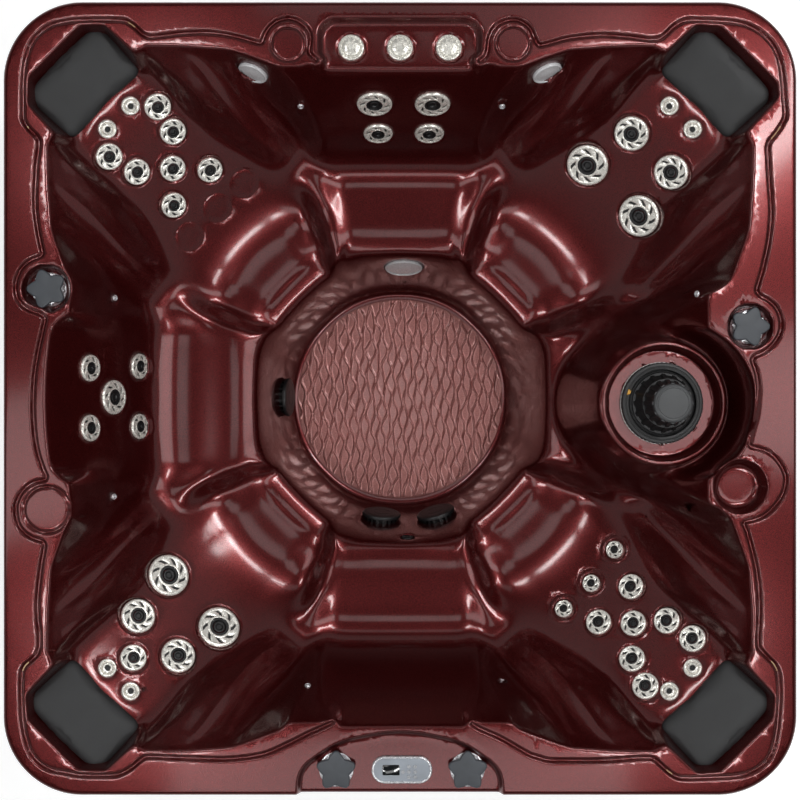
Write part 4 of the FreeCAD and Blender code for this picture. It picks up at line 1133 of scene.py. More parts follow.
    def fan(self, fine: Array, coarse: Array) -> Array:
        """Triangles between the skirt's fine loop and the back's coarse border."""
        share = self.underside_share
        faces = []
        for k, first in enumerate(coarse):
            second = coarse[(k + 1) % len(coarse)]
            for j in range(share):
                a = fine[k * share + j]
                b = fine[(k * share + j + 1) % len(fine)]
                faces.append((b, a, first))
            faces.append((fine[(k * share + share) % len(fine)], first, second))
        return np.array(faces)

    def build(self, node: Thing, material: Material, filter_place: Vector) -> None:
        """Makes the whole formed sheet.

        Args:
            node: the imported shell.
            material: the acrylic.
            filter_place: the middle of the filter well's floor.
        """
        heights = self.formed(self.measured(node), filter_place)
        x, y = self.warped(self.cells)
        top = np.stack([x, y, self.sample(heights, x, y)], axis=-1).reshape(-1, 3)
        border = self.ring(self.cells)
        rows = self.skirt(top[border])
        count = self.cells // self.underside_share
        under = self.underside(heights, count)
        under_border = self.ring(count)
        under[under_border] = rows[-1][:: self.underside_share]
        under[under_border, 2] -= 0.001
        points = np.concatenate([top, *rows, under])
        loops = [border] + [np.arange(len(border)) + len(top) + k * len(border) for k in range(len(rows))]
        start = len(top) + len(rows) * len(border)
        strips = [self.strip(upper, lower) for upper, lower in zip(loops, loops[1:])]
        quads = np.concatenate([self.quads(self.cells, 0, False), *strips, self.quads(count, start, True)])
        fan = self.fan(loops[-1], under_border + start)
        mesh = bpy.data.meshes.new("formed_shell")
        self.fill(mesh, points, quads, fan)
        made = placed("formed_shell", mesh)
        free = np.concatenate([np.flatnonzero(~self.kept(x, y)), np.arange(len(top), len(points))])
        self.thin(made, free, self.triangles / (2 * len(quads) + len(fan)))
        self.smooth_normals(made.data, heights)
        made.data.materials.clear()
        made.data.materials.append(material)
        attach(made, ROOT)
        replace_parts(made, "tub_shell")
        LOG.info("formed_shell: %d faces", len(made.data.polygons))

    @staticmethod
    def fill(mesh: Mesh, points: Array, quads: Array, fan: Array) -> None:
        """Puts points, four-sided and three-sided faces into a mesh."""
        corners = np.concatenate([quads.ravel(), fan.ravel()]).astype(np.int32)
        sizes = np.concatenate([np.full(len(quads), 4), np.full(len(fan), 3)])
        starts = np.concatenate([[0], np.cumsum(sizes)[:-1]]).astype(np.int32)
        mesh.vertices.add(len(points))
        mesh.vertices.foreach_set("co", points.astype(np.float32).ravel())
        mesh.loops.add(len(corners))
        mesh.loops.foreach_set("vertex_index", corners)
        mesh.polygons.add(len(sizes))
        mesh.polygons.foreach_set("loop_start", starts)
        mesh.polygons.foreach_set("use_smooth", np.ones(len(sizes), dtype=bool))
        mesh.update(calc_edges=True)

    @staticmethod
    def thin(made: Thing, free: Array, ratio: float) -> None:
        """Thins an object's mesh to a share of its triangles, giving up only the free points."""
        group = made.vertex_groups.new(name="free")
        group.add(free.tolist(), 1.0, "REPLACE")
        thinner = made.modifiers.new("thin", "DECIMATE")
        thinner.ratio = ratio
        thinner.vertex_group = "free"
        first = made.data
        final = evaluated_mesh(made)
        made.modifiers.clear()
        made.vertex_groups.clear()
        made.data = final
        bpy.data.meshes.remove(first)
        final.name = made.name

    def smooth_normals(self, mesh: Mesh, heights: Array) -> None:
        """Gives the sheet's top the slope of the fine grid, so that its gloss runs true."""
        points = vertex_values(mesh)
        normals = vertex_values(mesh, "normal")
        x, y, z = points.T
        slope_y, slope_x = np.gradient(heights, self.step)
        fine = np.stack([-self.sample(slope_x, x, y), -self.sample(slope_y, x, y), np.ones(len(points))], axis=1)
        fine /= np.linalg.norm(fine, axis=1, keepdims=True)
        level = self.sample(heights, x, y)
        inside = self.edge_distance(x, y) > self.roll
        on_top = inside & (np.abs(z - level) < 0.006) & (normals[:, 2] > 0.0)
        normals[on_top] = fine[on_top]
        mesh.polygons.foreach_set("use_smooth", np.ones(len(mesh.polygons), dtype=bool))
        mesh.normals_split_custom_set_from_vertices(normals.tolist())


class Repeater:
    """Geometry node tree that repeats a small form round a circle.

    The circle is tiny, because each form is already at its distance from the axis.
    """

    RADIUS = 1e-6

    def __init__(self) -> None:
        """Builds the tree with its named inputs."""
        tree = bpy.data.node_groups.new("round_a_circle", "GeometryNodeTree")
        face = tree.interface
        for name, kind in (("Geometry", "Geometry"), ("Count", "Int"), ("Radius", "Float"), ("Finish", "Material")):
            face.new_socket(name, in_out="INPUT", socket_type="NodeSocket" + kind)
        face.new_socket("Geometry", in_out="OUTPUT", socket_type="NodeSocketGeometry")
        nodes = wired(tree, {
            "source": "NodeGroupInput", "circle": "GeometryNodeMeshCircle", "index": "GeometryNodeInputIndex",
            "share": "ShaderNodeMath", "angle": "ShaderNodeMath", "euler": "ShaderNodeCombineXYZ",
            "turn": "FunctionNodeEulerToRotation", "copies": "GeometryNodeInstanceOnPoints",
            "real": "GeometryNodeRealizeInstances", "finish": "GeometryNodeSetMaterial", "output": "NodeGroupOutput",
        }, (
            ("source", "Count", "circle", "Vertices"), ("source", "Radius", "circle", "Radius"),
            ("index", "Index", "share", 0), ("source", "Count", "share", 1), ("share", "Value", "angle", 0),
            ("angle", "Value", "euler", "Z"), ("euler", "Vector", "turn", "Euler"),
            ("circle", "Mesh", "copies", "Points"), ("source", "Geometry", "copies", "Instance"),
            ("turn", "Rotation", "copies", "Rotation"), ("copies", "Instances", "real", "Geometry"),
            ("real", "Geometry", "finish", "Geometry"), ("source", "Finish", "finish", "Material"),
            ("finish", "Geometry", "output", "Geometry"),
        ))
        nodes["share"].operation = "DIVIDE"
        nodes["angle"].operation = "MULTIPLY"
        nodes["angle"].inputs[1].default_value = 2 * math.pi
        self.tree = tree
        self.keys = {item.name: item.identifier for item in face.items_tree if item.in_out == "INPUT"}

    def around(self, small: Form, count: int, material: Material) -> Form:
        """Copies of a small form round +Z, each turned to face outward.

        Args:
            small: the form, with +X pointing outward, already at its distance from the axis.
            count: how many.
            material: set on the copies.

        Returns:
            One form with all the copies.
        """
        mesh = bpy.data.meshes.new("repeat")
        mesh.from_pydata(small.points, [], small.faces)
        holder = placed("repeat", mesh)
        modifier = holder.modifiers.new("repeat", "NODES")
        modifier.node_group = self.tree
        modifier[self.keys["Count"]] = count
        modifier[self.keys["Radius"]] = self.RADIUS
        modifier[self.keys["Finish"]] = material
        result = evaluated_mesh(holder)
        made = Form().add([tuple(v.co) for v in result.vertices], [tuple(f.vertices) for f in result.polygons])
        bpy.data.objects.remove(holder)
        bpy.data.meshes.remove(mesh)
        bpy.data.meshes.remove(result)
        return made


def vane(inner: float, outer: float, sweep: float, width: float, foot: float, top: float, steps: int = 5) -> Form:
    """Curved blade between two radii, starting on +X, with softened upper edges."""
    points = []
    faces = []
    edge = top - 0.0012
    for k in range(steps + 1):
        share = k / steps
        radius = inner + (outer - inner) * share
        angle = sweep * share
        half = width * (0.7 + 0.6 * share) / 2
        middle = Vector((radius * math.cos(angle), radius * math.sin(angle), 0))
        side = Vector((-math.sin(angle), math.cos(angle), 0))
        section = ((-half, foot), (-half, edge), (-half * 0.6, top), (half * 0.6, top), (half, edge), (half, foot))
        for offset, height in section:
            points.append(tuple(middle + side * offset + UP * height))
    for k in range(steps):
        for j in range(5):
            a = k * 6 + j
            faces.append((a, a + 6, a + 7, a + 1))
    faces.append((0, 1, 2, 3, 4, 5))
    last = steps * 6
    faces.append(tuple(last + j for j in (5, 4, 3, 2, 1, 0)))
    return Form().add(points, faces)


class JetKind(Enum):
    """Kinds of water jet, and how many windows or inner fins each face has."""

    LARGE = 8
    CLUSTER = 6
    NECK = 0
    CASCADE = 9


@dataclass
class Jets:
    """Jet faces, bezels and nozzles."""

    finishes: Finishes
    repeater: Repeater
    height: float = 0.007
    gap: float = 0.0003
    nozzle_share: float = 0.28
    blade_share: float = 0.28
    blade_bend: float = 0.42
    segments: int = 64
    outer_fins: int = 18
    mini: float = 0.0275
    fillet: float = 0.005
    swell: Triple = (0.0105, 0.0045, -0.0016)
    mini_line: Pair = (0.0024, 0.0024)
    pockets: list[Pocket] = field(default_factory=list)
    nozzles: list[tuple[Matrix, float]] = field(default_factory=list)
    rings: list[RingLine] = field(default_factory=list)

    def slotted(self, radius: float, windows: int, lift: float) -> Form:
        """Bright ring with a dark swirl of windows round a black hub.

        Args:
            radius: of the whole face.
            windows: number of openings.
            lift: height of its underside.

        Returns:
            The form: finish 0 is bright, 1 is black.
        """
        r = radius
        h = self.height
        bore = self.nozzle_share * r + 0.0007
        bright = [(r, lift), *scaled(((1.0, 0.30), (0.988, 0.60), (0.955, 0.86), (0.91, 1.0), (0.86, 1.0), (0.83, 0.95),
                                      (0.815, 0.84), (0.81, 0.25)), r, h)]
        gutter = scaled(((0.81, 0.25), (0.57, 0.25)), r, h)
        collar = scaled(((0.57, 0.25), (0.565, 0.84), (0.55, 0.93), (0.50, 0.95), (0.46, 0.90)), r, h)
        dark = [*scaled(((0.46, 0.90), (0.44, 0.60), (0.40, 0.55), (0.34, 0.60)), r, h), (bore, lift)]
        back = [(bore, lift), (r, lift)]
        made = Form()
        for profile, finish in ((bright, 0), (gutter, 1), (collar, 0), (dark, 1), (back, 1)):
            made.lathe(profile, self.segments, finish)
        blade = vane(0.0, self.blade_share * r, 0.0, 2.9 * r / windows, 0.2 * h, 0.93 * h)
        swept = []
        for x, y, z in blade.points:
            bend = self.blade_bend * (x / (self.blade_share * r))
            radius_here = 0.55 * r + x
            angle = bend + y / radius_here
            swept.append((radius_here * math.cos(angle), radius_here * math.sin(angle), z))
        small = Form().add(swept, blade.faces)
        made.join(self.repeater.around(small, windows, self.finishes["jet_chrome"]))
        return made

    def eyelet(self, radius: float) -> Form:
        """Bright neck jet: a stepped ring about a ball with a bore."""
        ball = ((1.0, 0.0), (1.0, 0.45), (0.97, 0.8), (0.90, 1.0), (0.80, 1.02), (0.74, 0.9), (0.70, 0.5), (0.66, 0.45),
                (0.63, 0.75), (0.56, 1.15), (0.46, 1.3), (0.38, 1.28), (0.33, 1.1), (0.30, 0.7))
        bore = ((0.30, 0.7), (0.27, 0.12), (0.0, 0.12))
        made = Form().lathe(scaled(ball, radius, self.height), 48, 0)
        return made.lathe(scaled(bore, radius, self.height), 48, 1)

    def knurled(self, radius: float) -> Form:
        """Bright cascade jet: a dome with two rows of fins about a slit."""
        r = radius
        h = self.height
        dome = ((1.0, 0.0), (1.0, 0.5), (0.965, 0.9), (0.90, 1.05), (0.86, 0.8), (0.80, 0.75), (0.72, 0.8),
                (0.66, 1.35), (0.54, 1.6), (0.40, 1.75), (0.30, 1.78), (0.26, 1.5), (0.20, 1.45), (0.0, 1.75))
        made = Form().lathe(scaled(dome, r, h), 56, 0)
        outer = vane(0.70 * r, 0.90 * r, 0.10, 0.085 * r, 0.6 * h, 1.35 * h, 2)
        inner = vane(0.33 * r, 0.60 * r, -0.25, 0.09 * r, 1.2 * h, 1.95 * h, 3)
        for fin, count in ((outer, self.outer_fins), (inner, JetKind.CASCADE.value)):
            made.join(self.repeater.around(fin, count, self.finishes["jet_chrome"]))
        return made

    def nozzle(self, radius: float) -> Form:
        """Black nozzle with a flared orifice."""
        r = radius * self.nozzle_share - 0.0002
        shares = ((1.0, -0.4), (1.0, 0.62), (0.94, 0.78), (0.82, 0.84),
                  (0.66, 0.78), (0.54, 0.5), (0.46, 0.12), (0.0, 0.12))
        return Form().lathe(scaled(shares, r, self.height), 28, 0)

    def build(self, frame: dict) -> None:
        """Makes every jet of the tub.
        """
        pair = [self.finishes["jet_chrome"], self.finishes["black_plastic"]]
        joints = {joint["child"]: joint for joint in frame["joints"]}
        for body, node in moving(frame, "jet_face"):
            joint = joints[body]
            place = axis_frame(Vector(joint["pos_m"]), Vector(joint["axis"]))
            away = np.array(solid_points(frame["nodes"][node])[0]) - np.array(joint["pos_m"])
            axis = np.array(place.to_3x3() @ UP)
            radius = float(np.linalg.norm(away - np.outer(away @ axis, axis), axis=1).max())
            self.put(place, radius)
            made = Form().join(self.slotted(radius, JetKind.LARGE.value, self.gap), place)
            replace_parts(made.piece(node + "_swirl", pair, body, "jet_chrome"), node)
        groups = {"cluster_jet_bezels": JetKind.CLUSTER, "neck_jets": JetKind.NECK, "cascade_jets": JetKind.CASCADE}
        for node, kind in groups.items():
            form = Form()
            for solid in islands(frame["nodes"][node]):
                place, radius = round_seat(solid, self.height)
                if kind is JetKind.CLUSTER:
                    self.put(place, radius)
                    small = self.slotted(radius, kind.value, 0.0)
                else:
                    self.pockets.append((place, radius + POCKET_MARGIN, POCKET_FILLET))
                    small = self.eyelet(radius) if kind is JetKind.NECK else self.knurled(radius)
                form.join(small, place)
            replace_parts(form.piece(node + "_dressed", pair, ROOT, "jet_chrome"), node)
        form = Form()
        for place, radius in self.nozzles:
            form.join(self.nozzle(radius), place)
        made = form.piece("jet_nozzles_dressed", [self.finishes["black_plastic"]], ROOT, "black_plastic")
        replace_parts(made, "jet_nozzles")

    def put(self, place: Matrix, radius: float) -> None:
        """Notes the pocket, the raised ring and the nozzle of one jet."""
        self.pockets.append((place, radius + POCKET_MARGIN, self.fillet))
        self.nozzles.append((place, radius))
        x, y, _ = place.translation
        beyond, width, depth = self.swell
        self.rings.append((x, y, radius + beyond, width, depth))
        if radius < self.mini:
            self.rings.append((x, y, PAD_RADIUS, *self.mini_line))


@dataclass
class Knobs:
    """Five-pointed knobs on silver skirts."""

    finishes: Finishes
    repeater: Repeater
    points: int = 5
    tip: float = 0.0535
    waist: float = 0.0375
    skirt: float = 0.0465
    thick: float = 0.013
    crown: float = 0.0018
    blunt: float = 0.86
    steps: int = 24
    flutes: int = 15
    side_pods: float = 0.5

    def outline(self, grow: float) -> Profile:
        """Star with blunt tips and hollow sides.

        Args:
            grow: how far outside the plain outline.

        Returns:
            Plan points round the star.
        """
        plan = []
        for k in range(self.points * self.steps):
            share = (k % self.steps) / self.steps
            angle = 2 * math.pi * k / (self.points * self.steps) + math.pi / 2
            wave = abs(2 * share - 1)
            blunt = min(wave, self.blunt) / self.blunt
            radius = self.waist + (self.tip - self.waist) * blunt ** 1.25 + grow
            plan.append((radius * math.cos(angle), radius * math.sin(angle)))
        return plan

    def star(self, top: float) -> Form:
        """The star-shaped grip with rounded edges and a domed top."""
        base = top - self.thick
        rows = [(-0.0030, base), (-0.0010, base + 0.0012), (0.0, base + 0.0035), (0.0, top - 0.0042),
                (-0.0008, top - 0.0022), (-0.0024, top - 0.0008), (-0.0048, top - 0.0002)]
        loops = [[(x, y, z) for x, y in self.outline(grow)] for grow, z in rows]
        upper = loops[-1]
        for scale, z in ((0.72, top + 0.0002), (0.40, top + self.crown * 0.6)):
            loops.append([(x * scale, y * scale, z) for x, y, _ in upper])
        size = len(upper)
        points = [p for loop in loops for p in loop] + [(0, 0, top + self.crown * 0.7), (0, 0, base)]
        faces = bands(len(loops), size)
        last = (len(loops) - 1) * size
        for k in range(size):
            faces.append((last + k, last + (k + 1) % size, len(points) - 2))
            faces.append(((k + 1) % size, k, len(points) - 1))
        return Form().add(points, faces)

    def drum(self, floor: float, top: float) -> Form:
        """The silver skirt below the grip, with flutes round it."""
        r = self.skirt
        rise = top - floor
        profile = [(r * 0.96, floor + 0.0003), (r, floor + 0.0018), (r, floor + 0.18 * rise),
                   (0.975 * r, floor + 0.24 * rise), (0.93 * r, floor + 0.30 * rise), (0.88 * r, floor + 0.92 * rise),
                   (0.70 * r, top - 0.0002), (0.0, top - 0.0002)]
        made = Form().lathe(profile, 60, 0)
        flute = vane(0.86 * r, 0.955 * r, 0.0, 0.12 * r, floor + 0.28 * rise, floor + 0.86 * rise, 2)
        return made.join(self.repeater.around(flute, self.flutes, self.finishes["bezel_silver"]))

    def build(self, frame: dict) -> None:
        """Makes the four knobs."""
        for body, node in moving(frame, "_knob_"):
            joint = next(j for j in frame["joints"] if j["child"] == body)
            x, y, floor = joint["pos_m"]
            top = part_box(node)[1][2]
            turn = math.copysign(math.pi / 2, -x) if abs(x) > self.side_pods else 0.0
            place = Matrix.Translation((x, y, 0)) @ Matrix.Rotation(turn, 4, "Z")
            grip = Form().join(self.star(top), place)
            made = grip.piece(node + "_star", [self.finishes["knob_slate"]], body, "knob_slate", 50.0)
            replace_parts(made, node)
            skirt = Form().join(self.drum(floor, top - self.thick), place)
            skirt.piece(node + "_skirt", [self.finishes["bezel_silver"]], body, "bezel_silver")


@dataclass
class Pillows:
    """Moulded foam headrests, swollen from their solids by a short cloth run."""

    finishes: Finishes
    voxel: float = 0.0045
    pressure: float = 4.0
    frames: int = 14
    most: float = 0.007
    spread: float = 1.165
    outward: float = 0.006
    shrink: float = 0.995
    bed_gap: float = 0.0004
    rest_gap: float = 0.0003
    smoothing: int = 6
    back: float = 0.0
    half: float = 0.0

    @staticmethod
    def turns() -> dict[str, float]:
        """Turn about +Z of each pillow from the first, in degrees."""
        return {"pillow_back_left": 0.0, "pillow_back_right": -90.0,
                "pillow_front_left": 90.0, "pillow_front_right": 180.0}

    @staticmethod
    def bed(points: Array, triangles: Array) -> tuple[Array, float]:
        """Normal of the flat underside, pointing up, and its height along that normal."""
        normal, area = facets(points, triangles)
        unit = normal / np.maximum(area, 1e-15)[:, None]
        down = np.where(unit[:, 2] < -0.5, area, 0.0)
        seed = unit[np.argmax(down)]
        flat = (unit @ seed) > 0.999
        mean = (unit[flat] * area[flat][:, None]).sum(axis=0)
        up = -mean / np.linalg.norm(mean)
        return up, float((points[np.unique(triangles)] @ up).min())

    def swollen(self, node: Thing) -> tuple[Array, Faces]:
        """Points and faces of a pillow after the cloth run.

        Args:
            node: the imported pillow.

        Returns:
            Smooth points and faces.
        """
        points, triangles = solid_points(node)
        up, level = self.bed(points, triangles)
        middle = points.mean(axis=0)
        mesh = bpy.data.meshes.new("pillow_start")
        start = middle + (points - middle) * self.shrink
        mesh.from_pydata(start.tolist(), [], triangles.tolist())
        holder = placed("pillow_start", mesh)
        remesh = holder.modifiers.new("remesh", "REMESH")
        remesh.mode = "VOXEL"
        remesh.voxel_size = self.voxel
        self.apply(holder)
        before = vertex_values(holder.data)
        cloth = holder.modifiers.new("cloth", "CLOTH")
        cloth.settings.use_pressure = True
        cloth.settings.uniform_pressure_force = self.pressure
        cloth.settings.effector_weights.gravity = 0.0
        cloth.settings.quality = 4
        scene = bpy.context.scene
        for number in range(1, self.frames + 1):
            scene.frame_set(number)
        self.apply(holder)
        scene.frame_set(1)
        after = vertex_values(holder.data)
        move = after - before
        far = np.linalg.norm(move, axis=1, keepdims=True)
        move *= np.minimum(1.0, self.most / np.maximum(far, TINY))
        settled = before + move
        height = settled @ up - level
        settled -= np.minimum(height - self.bed_gap, 0.0)[:, None] * up
        holder.data.vertices.foreach_set("co", settled.astype(np.float32).ravel())
        even = holder.modifiers.new("even", "SMOOTH")
        even.factor = 0.5
        even.iterations = self.smoothing
        finer = holder.modifiers.new("finer", "SUBSURF")
        finer.levels = 1
        finer.render_levels = 1
        self.apply(holder)
        result = vertex_values(holder.data)
        away = result - middle
        result = middle + away * self.spread - np.outer(away @ up, up) * (self.spread - 1)
        height = result @ up - level
        result -= np.minimum(height - self.rest_gap, 0.0)[:, None] * up
        faces = [tuple(f.vertices) for f in holder.data.polygons]
        bpy.data.objects.remove(holder)
        return result, faces

    @staticmethod
    def apply(holder: Thing) -> None:
        """Turns an object's modifiers into its mesh."""
        mesh = evaluated_mesh(holder)
        holder.modifiers.clear()
        holder.data = mesh

    def build(self, frame: dict) -> None:
        """Makes the four pillows."""
        points, faces = self.swollen(frame["nodes"][next(iter(self.turns()))])
        points = points + np.array((-self.outward, self.outward, 0.0)) / DIAGONAL
        self.back = float(((points[:, 1] - points[:, 0]) / DIAGONAL).max())
        self.half = float((np.abs(points[:, 1] + points[:, 0]) / DIAGONAL).max())
        LOG.info("pillow reaches %.3f m out and %.3f m to each side", self.back, self.half)
        for name, angle in self.turns().items():
            turn = Matrix.Rotation(math.radians(angle), 3, "Z")
            form = Form().add((points @ np.array(turn).T).tolist(), faces)
            made = form.piece(name + "_foam", [self.finishes["pillow_foam"]], ROOT, "pillow_foam", 180.0)
            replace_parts(made, name)


@dataclass
class ControlPanel:
    """Oval control panel on the front console."""

    finishes: Finishes
    half_length: float = 0.082
    half_height: float = 0.037
    rim: float = 0.0065
    thick: float = 0.007
    window: tuple[float, float, float, float] = (-0.052, -0.006, -0.014, 0.014)
    window_corner: float = 0.003
    key_radius: float = 0.005
    key_foot: float = 0.0011

    def oval(self, inset: float, count: int = 96) -> Profile:
        """Round-ended plan drawn in by an inset."""
        a = self.half_length - inset
        b = self.half_height - inset
        r = b * 0.97
        plan = []
        for k in range(count):
            angle = 2 * math.pi * (k + 0.5) / count
            x = math.copysign(a - r, math.cos(angle)) + r * math.cos(angle)
            y = math.copysign(b - r, math.sin(angle)) + r * math.sin(angle)
            plan.append((x, y))
        return plan

    def ring(self, rows: Profile) -> Form:
        """Closed ring from rows of (inset, height)."""
        loops = [[(x, y, z) for x, y in self.oval(inset)] for inset, z in rows]
        return Form().add([p for loop in loops for p in loop], bands(len(loops), len(loops[0]), closed=True))

    def plate(self, low: float, high: float) -> Form:
        """The window: a thin rounded rectangle with a softened upper edge."""
        radius = self.window_corner
        loops = []
        for inset, z in ((0.0, low), (0.0, high - 0.0003), (0.0004, high)):
            x0, x1, y0, y1 = (edge + sign * inset for edge, sign in zip(self.window, (1, -1, 1, -1)))
            left, right, front, back = x0 + radius, x1 - radius, y0 + radius, y1 - radius
            loop = []
            for cx, cy, start in ((right, back, 0), (left, back, 90), (left, front, 180), (right, front, 270)):
                for k in range(7):
                    angle = math.radians(start + 15 * k)
                    loop.append((cx + radius * math.cos(angle), cy + radius * math.sin(angle), z))
            loops.append(loop)
        size = len(loops[0])
        faces = [tuple(range(size - 1, -1, -1)), tuple(range(2 * size, 3 * size)), *bands(len(loops), size)]
        return Form().add([p for loop in loops for p in loop], faces)

    def key(self, foot: float, top: float) -> Form:
        """Round key with a hollow for the finger and a foot that holds it in the panel."""
        r = self.key_radius
        wide = r + self.key_foot
        profile = [(0.0, foot), (wide, foot), (wide, foot + 0.0025), (r, foot + 0.003), (r, top - 0.0011),
                   (0.94 * r, top - 0.0004), (0.8 * r, top), (0.45 * r, top - 0.0003), (0.0, top - 0.0005)]
        return Form().lathe(profile, 32)

    def build(self, frame: dict) -> None:
        """Makes the bezel, the display window and the keys."""
        low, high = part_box("control_face")
        top = high[2]
        place = over(low, high)
        base = top - self.thick
        rows = [(0.0, base + 0.0001), (0.0, base + 0.0035), (0.0006, base + 0.0060), (0.0022, base + 0.0082),
                (0.0042, base + 0.0088), (0.0056, base + 0.0080), (self.rim, top - 0.0002), (self.rim, top - 0.0020),
                (0.004, base + 0.0001)]
        bezel = Form().join(self.ring(rows), place)
        made = bezel.piece("control_bezel_rounded", [self.finishes["bezel_silver"]], ROOT, "bezel_silver", 60.0)
        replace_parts(made, "control_bezel")
        glass = Form().join(self.plate(top - 0.0006, top + 0.0007), place)
        glass.piece("control_window", [self.finishes["panel_window"]], ROOT, "panel_face")
        for body, node in moving(frame, "control_key"):
            low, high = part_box(node)
            key = Form().join(self.key(low[2], high[2]), over(low, high))
            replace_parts(key.piece(node + "_cap", [self.finishes["key_grey"]], body, "key_grey"), node)


@dataclass
class FilterSet:
    """Collar, slotted basket and cap of the filter."""

    finishes: Finishes
    repeater: Repeater
    ribs: int = 16
    grips: int = 12
    teeth: int = 60
    bore: float = 0.080
    seat: float = 0.0925
    crown: float = 0.0495
    hoop: float = 0.52
    tab_turn: float = 162.0
    body: str = "basket"

    def build(self, place: Vector) -> None:
        """Makes the filter's visible pieces.

        Args:
            place: middle of the collar's underside.
        """
        at = Matrix.Translation((place.x, place.y, 0))
        black = self.finishes["black_plastic"]
        grey = self.finishes["cap_grey"]
        collar = Form().join(self.collar(black), at)
        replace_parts(collar.piece("filter_collar_ribbed", [black], ROOT, "black_plastic"), "filter_collar")
        basket = Form().join(self.basket(black), at)
        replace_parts(basket.piece("filter_basket_ribbed", [black], self.body, "black_plastic"), "filter_basket")
        cap = Form().join(self.cap(grey), at)
        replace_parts(cap.piece("filter_cap_gripped", [grey], self.body, "cap_grey"), "filter_cap")
        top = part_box("filter_collar")[1][2]
        tab = vane(0.0955, 0.1035, 0.0, 0.013, top - 0.001, top + 0.0025, 2)
        turn = Matrix.Rotation(math.radians(self.tab_turn), 4, "Z")
        Form().join(tab, at @ turn).piece("filter_tab", [self.finishes["tab_yellow"]], ROOT, "black_plastic")

    def collar(self, black: Material) -> Form:
        """Ring with a grooved face and teeth round its side."""
        low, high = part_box("filter_collar")
        base, top = low[2], high[2]
        r = (high[0] - low[0]) / 2
        rows = [(self.bore, base), (r, base), (r, top - 0.004), (r - 0.0015, top - 0.0012), (r - 0.004, top),
                (r - 0.009, top), (r - 0.0105, top - 0.0015), (r - 0.012, top - 0.0015), (r - 0.0135, top),
                (0.0965, top), (0.0945, top - 0.001), (0.0935, top - 0.004), (self.seat, base + 0.0045),
                (self.seat, base + 0.004), (self.bore, base + 0.004), (self.bore, base)]
        tooth = vane(r - 0.0008, r + 0.0012, 0.0, 0.004, base + 0.002, top - 0.004, 1)
        return Form().lathe(rows, 96).join(self.repeater.around(tooth, self.teeth, black))

    def basket(self, black: Material) -> Form:
        """Tapered basket of ribs between a foot ring, a hoop and a crown, on a closed wall whose black is partly the
        basket's own and partly painted shade for its slots.
        """
        low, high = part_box("filter_basket")
        foot, top = low[2], high[2]
        wide = (high[0] - low[0]) / 2 - 0.0003
        lower, upper = wide - 0.0045, self.crown
        inner = (lower - 0.006, foot + 0.0005)
        rows = [inner, (wide, foot + 0.0005), (wide, foot + 0.007), (wide - 0.002, foot + 0.008), (lower, foot + 0.010),
                (lower - 0.0015, foot + 0.016), (lower - 0.008, foot + 0.018), (upper - 0.002, top - 0.014),
                (upper + 0.003, top - 0.012), (upper + 0.002, top), (upper - 0.005, top), (upper - 0.006, top - 0.014),
                (lower - 0.012, foot + 0.016), inner]
        # Closed wall behind the ribs: the basket's own black plastic, and painted shade where its slots would open onto
        # the dark well.
        made = Form().lathe(rows, 80)
        rib = self.leaning_rib(lower - 0.002, upper + 0.0015, foot + 0.012, top - 0.010)
        made.join(self.repeater.around(rib, self.ribs, black))
        middle = foot + (top - foot) * self.hoop
        r = lower + (upper - lower) * self.hoop
        hoop = [(r - 0.006, middle - 0.004), (r + 0.001, middle - 0.004),
                (r + 0.0005, middle + 0.004), (r - 0.006, middle + 0.004)]
        return made.lathe(hoop, 80)

    def cap(self, grey: Material) -> Form:
        """Domed cap with grips round its side."""
        low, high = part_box("filter_cap")
        r = (high[0] - low[0]) / 2
        a, b = low[2], high[2]
        rows = [(0.0, a), (r - 0.003, a), (r, a + 0.003), (r, b - 0.007), (r - 0.001, b - 0.004),
                (r - 0.004, b - 0.0015), (r - 0.007, b - 0.0007), (r - 0.009, b - 0.0018), (r - 0.011, b - 0.0018),
                (r - 0.0125, b - 0.0006), (0.5 * r, b - 0.0002), (0.0, b)]
        grip = vane(r - 0.0015, r + 0.0022, 0.0, 0.010, a + 0.003, b - 0.008, 1)
        return Form().lathe(rows, 80).join(self.repeater.around(grip, self.grips, grey))

    @staticmethod
    def leaning_rib(lower: float, upper: float, foot: float, crown: float) -> Form:
        """Rib that leans in from the basket's foot to its crown, on +X."""
        section = ((-0.007, -0.0062), (-0.001, -0.0062), (0.0, -0.0045),
                   (0.0, 0.0045), (-0.001, 0.0062), (-0.007, 0.0062))
        ends = ((lower, foot), (upper, crown))
        points = [(radius + out, side, height) for radius, height in ends for out, side in section]
        faces = [(j, j + 1, j + 7, j + 6) for j in range(5)]
        faces.append((0, 6, 11, 5))
        faces.append((0, 5, 4, 3, 2, 1))
        faces.append((6, 7, 8, 9, 10, 11))
        return Form().add(points, faces)


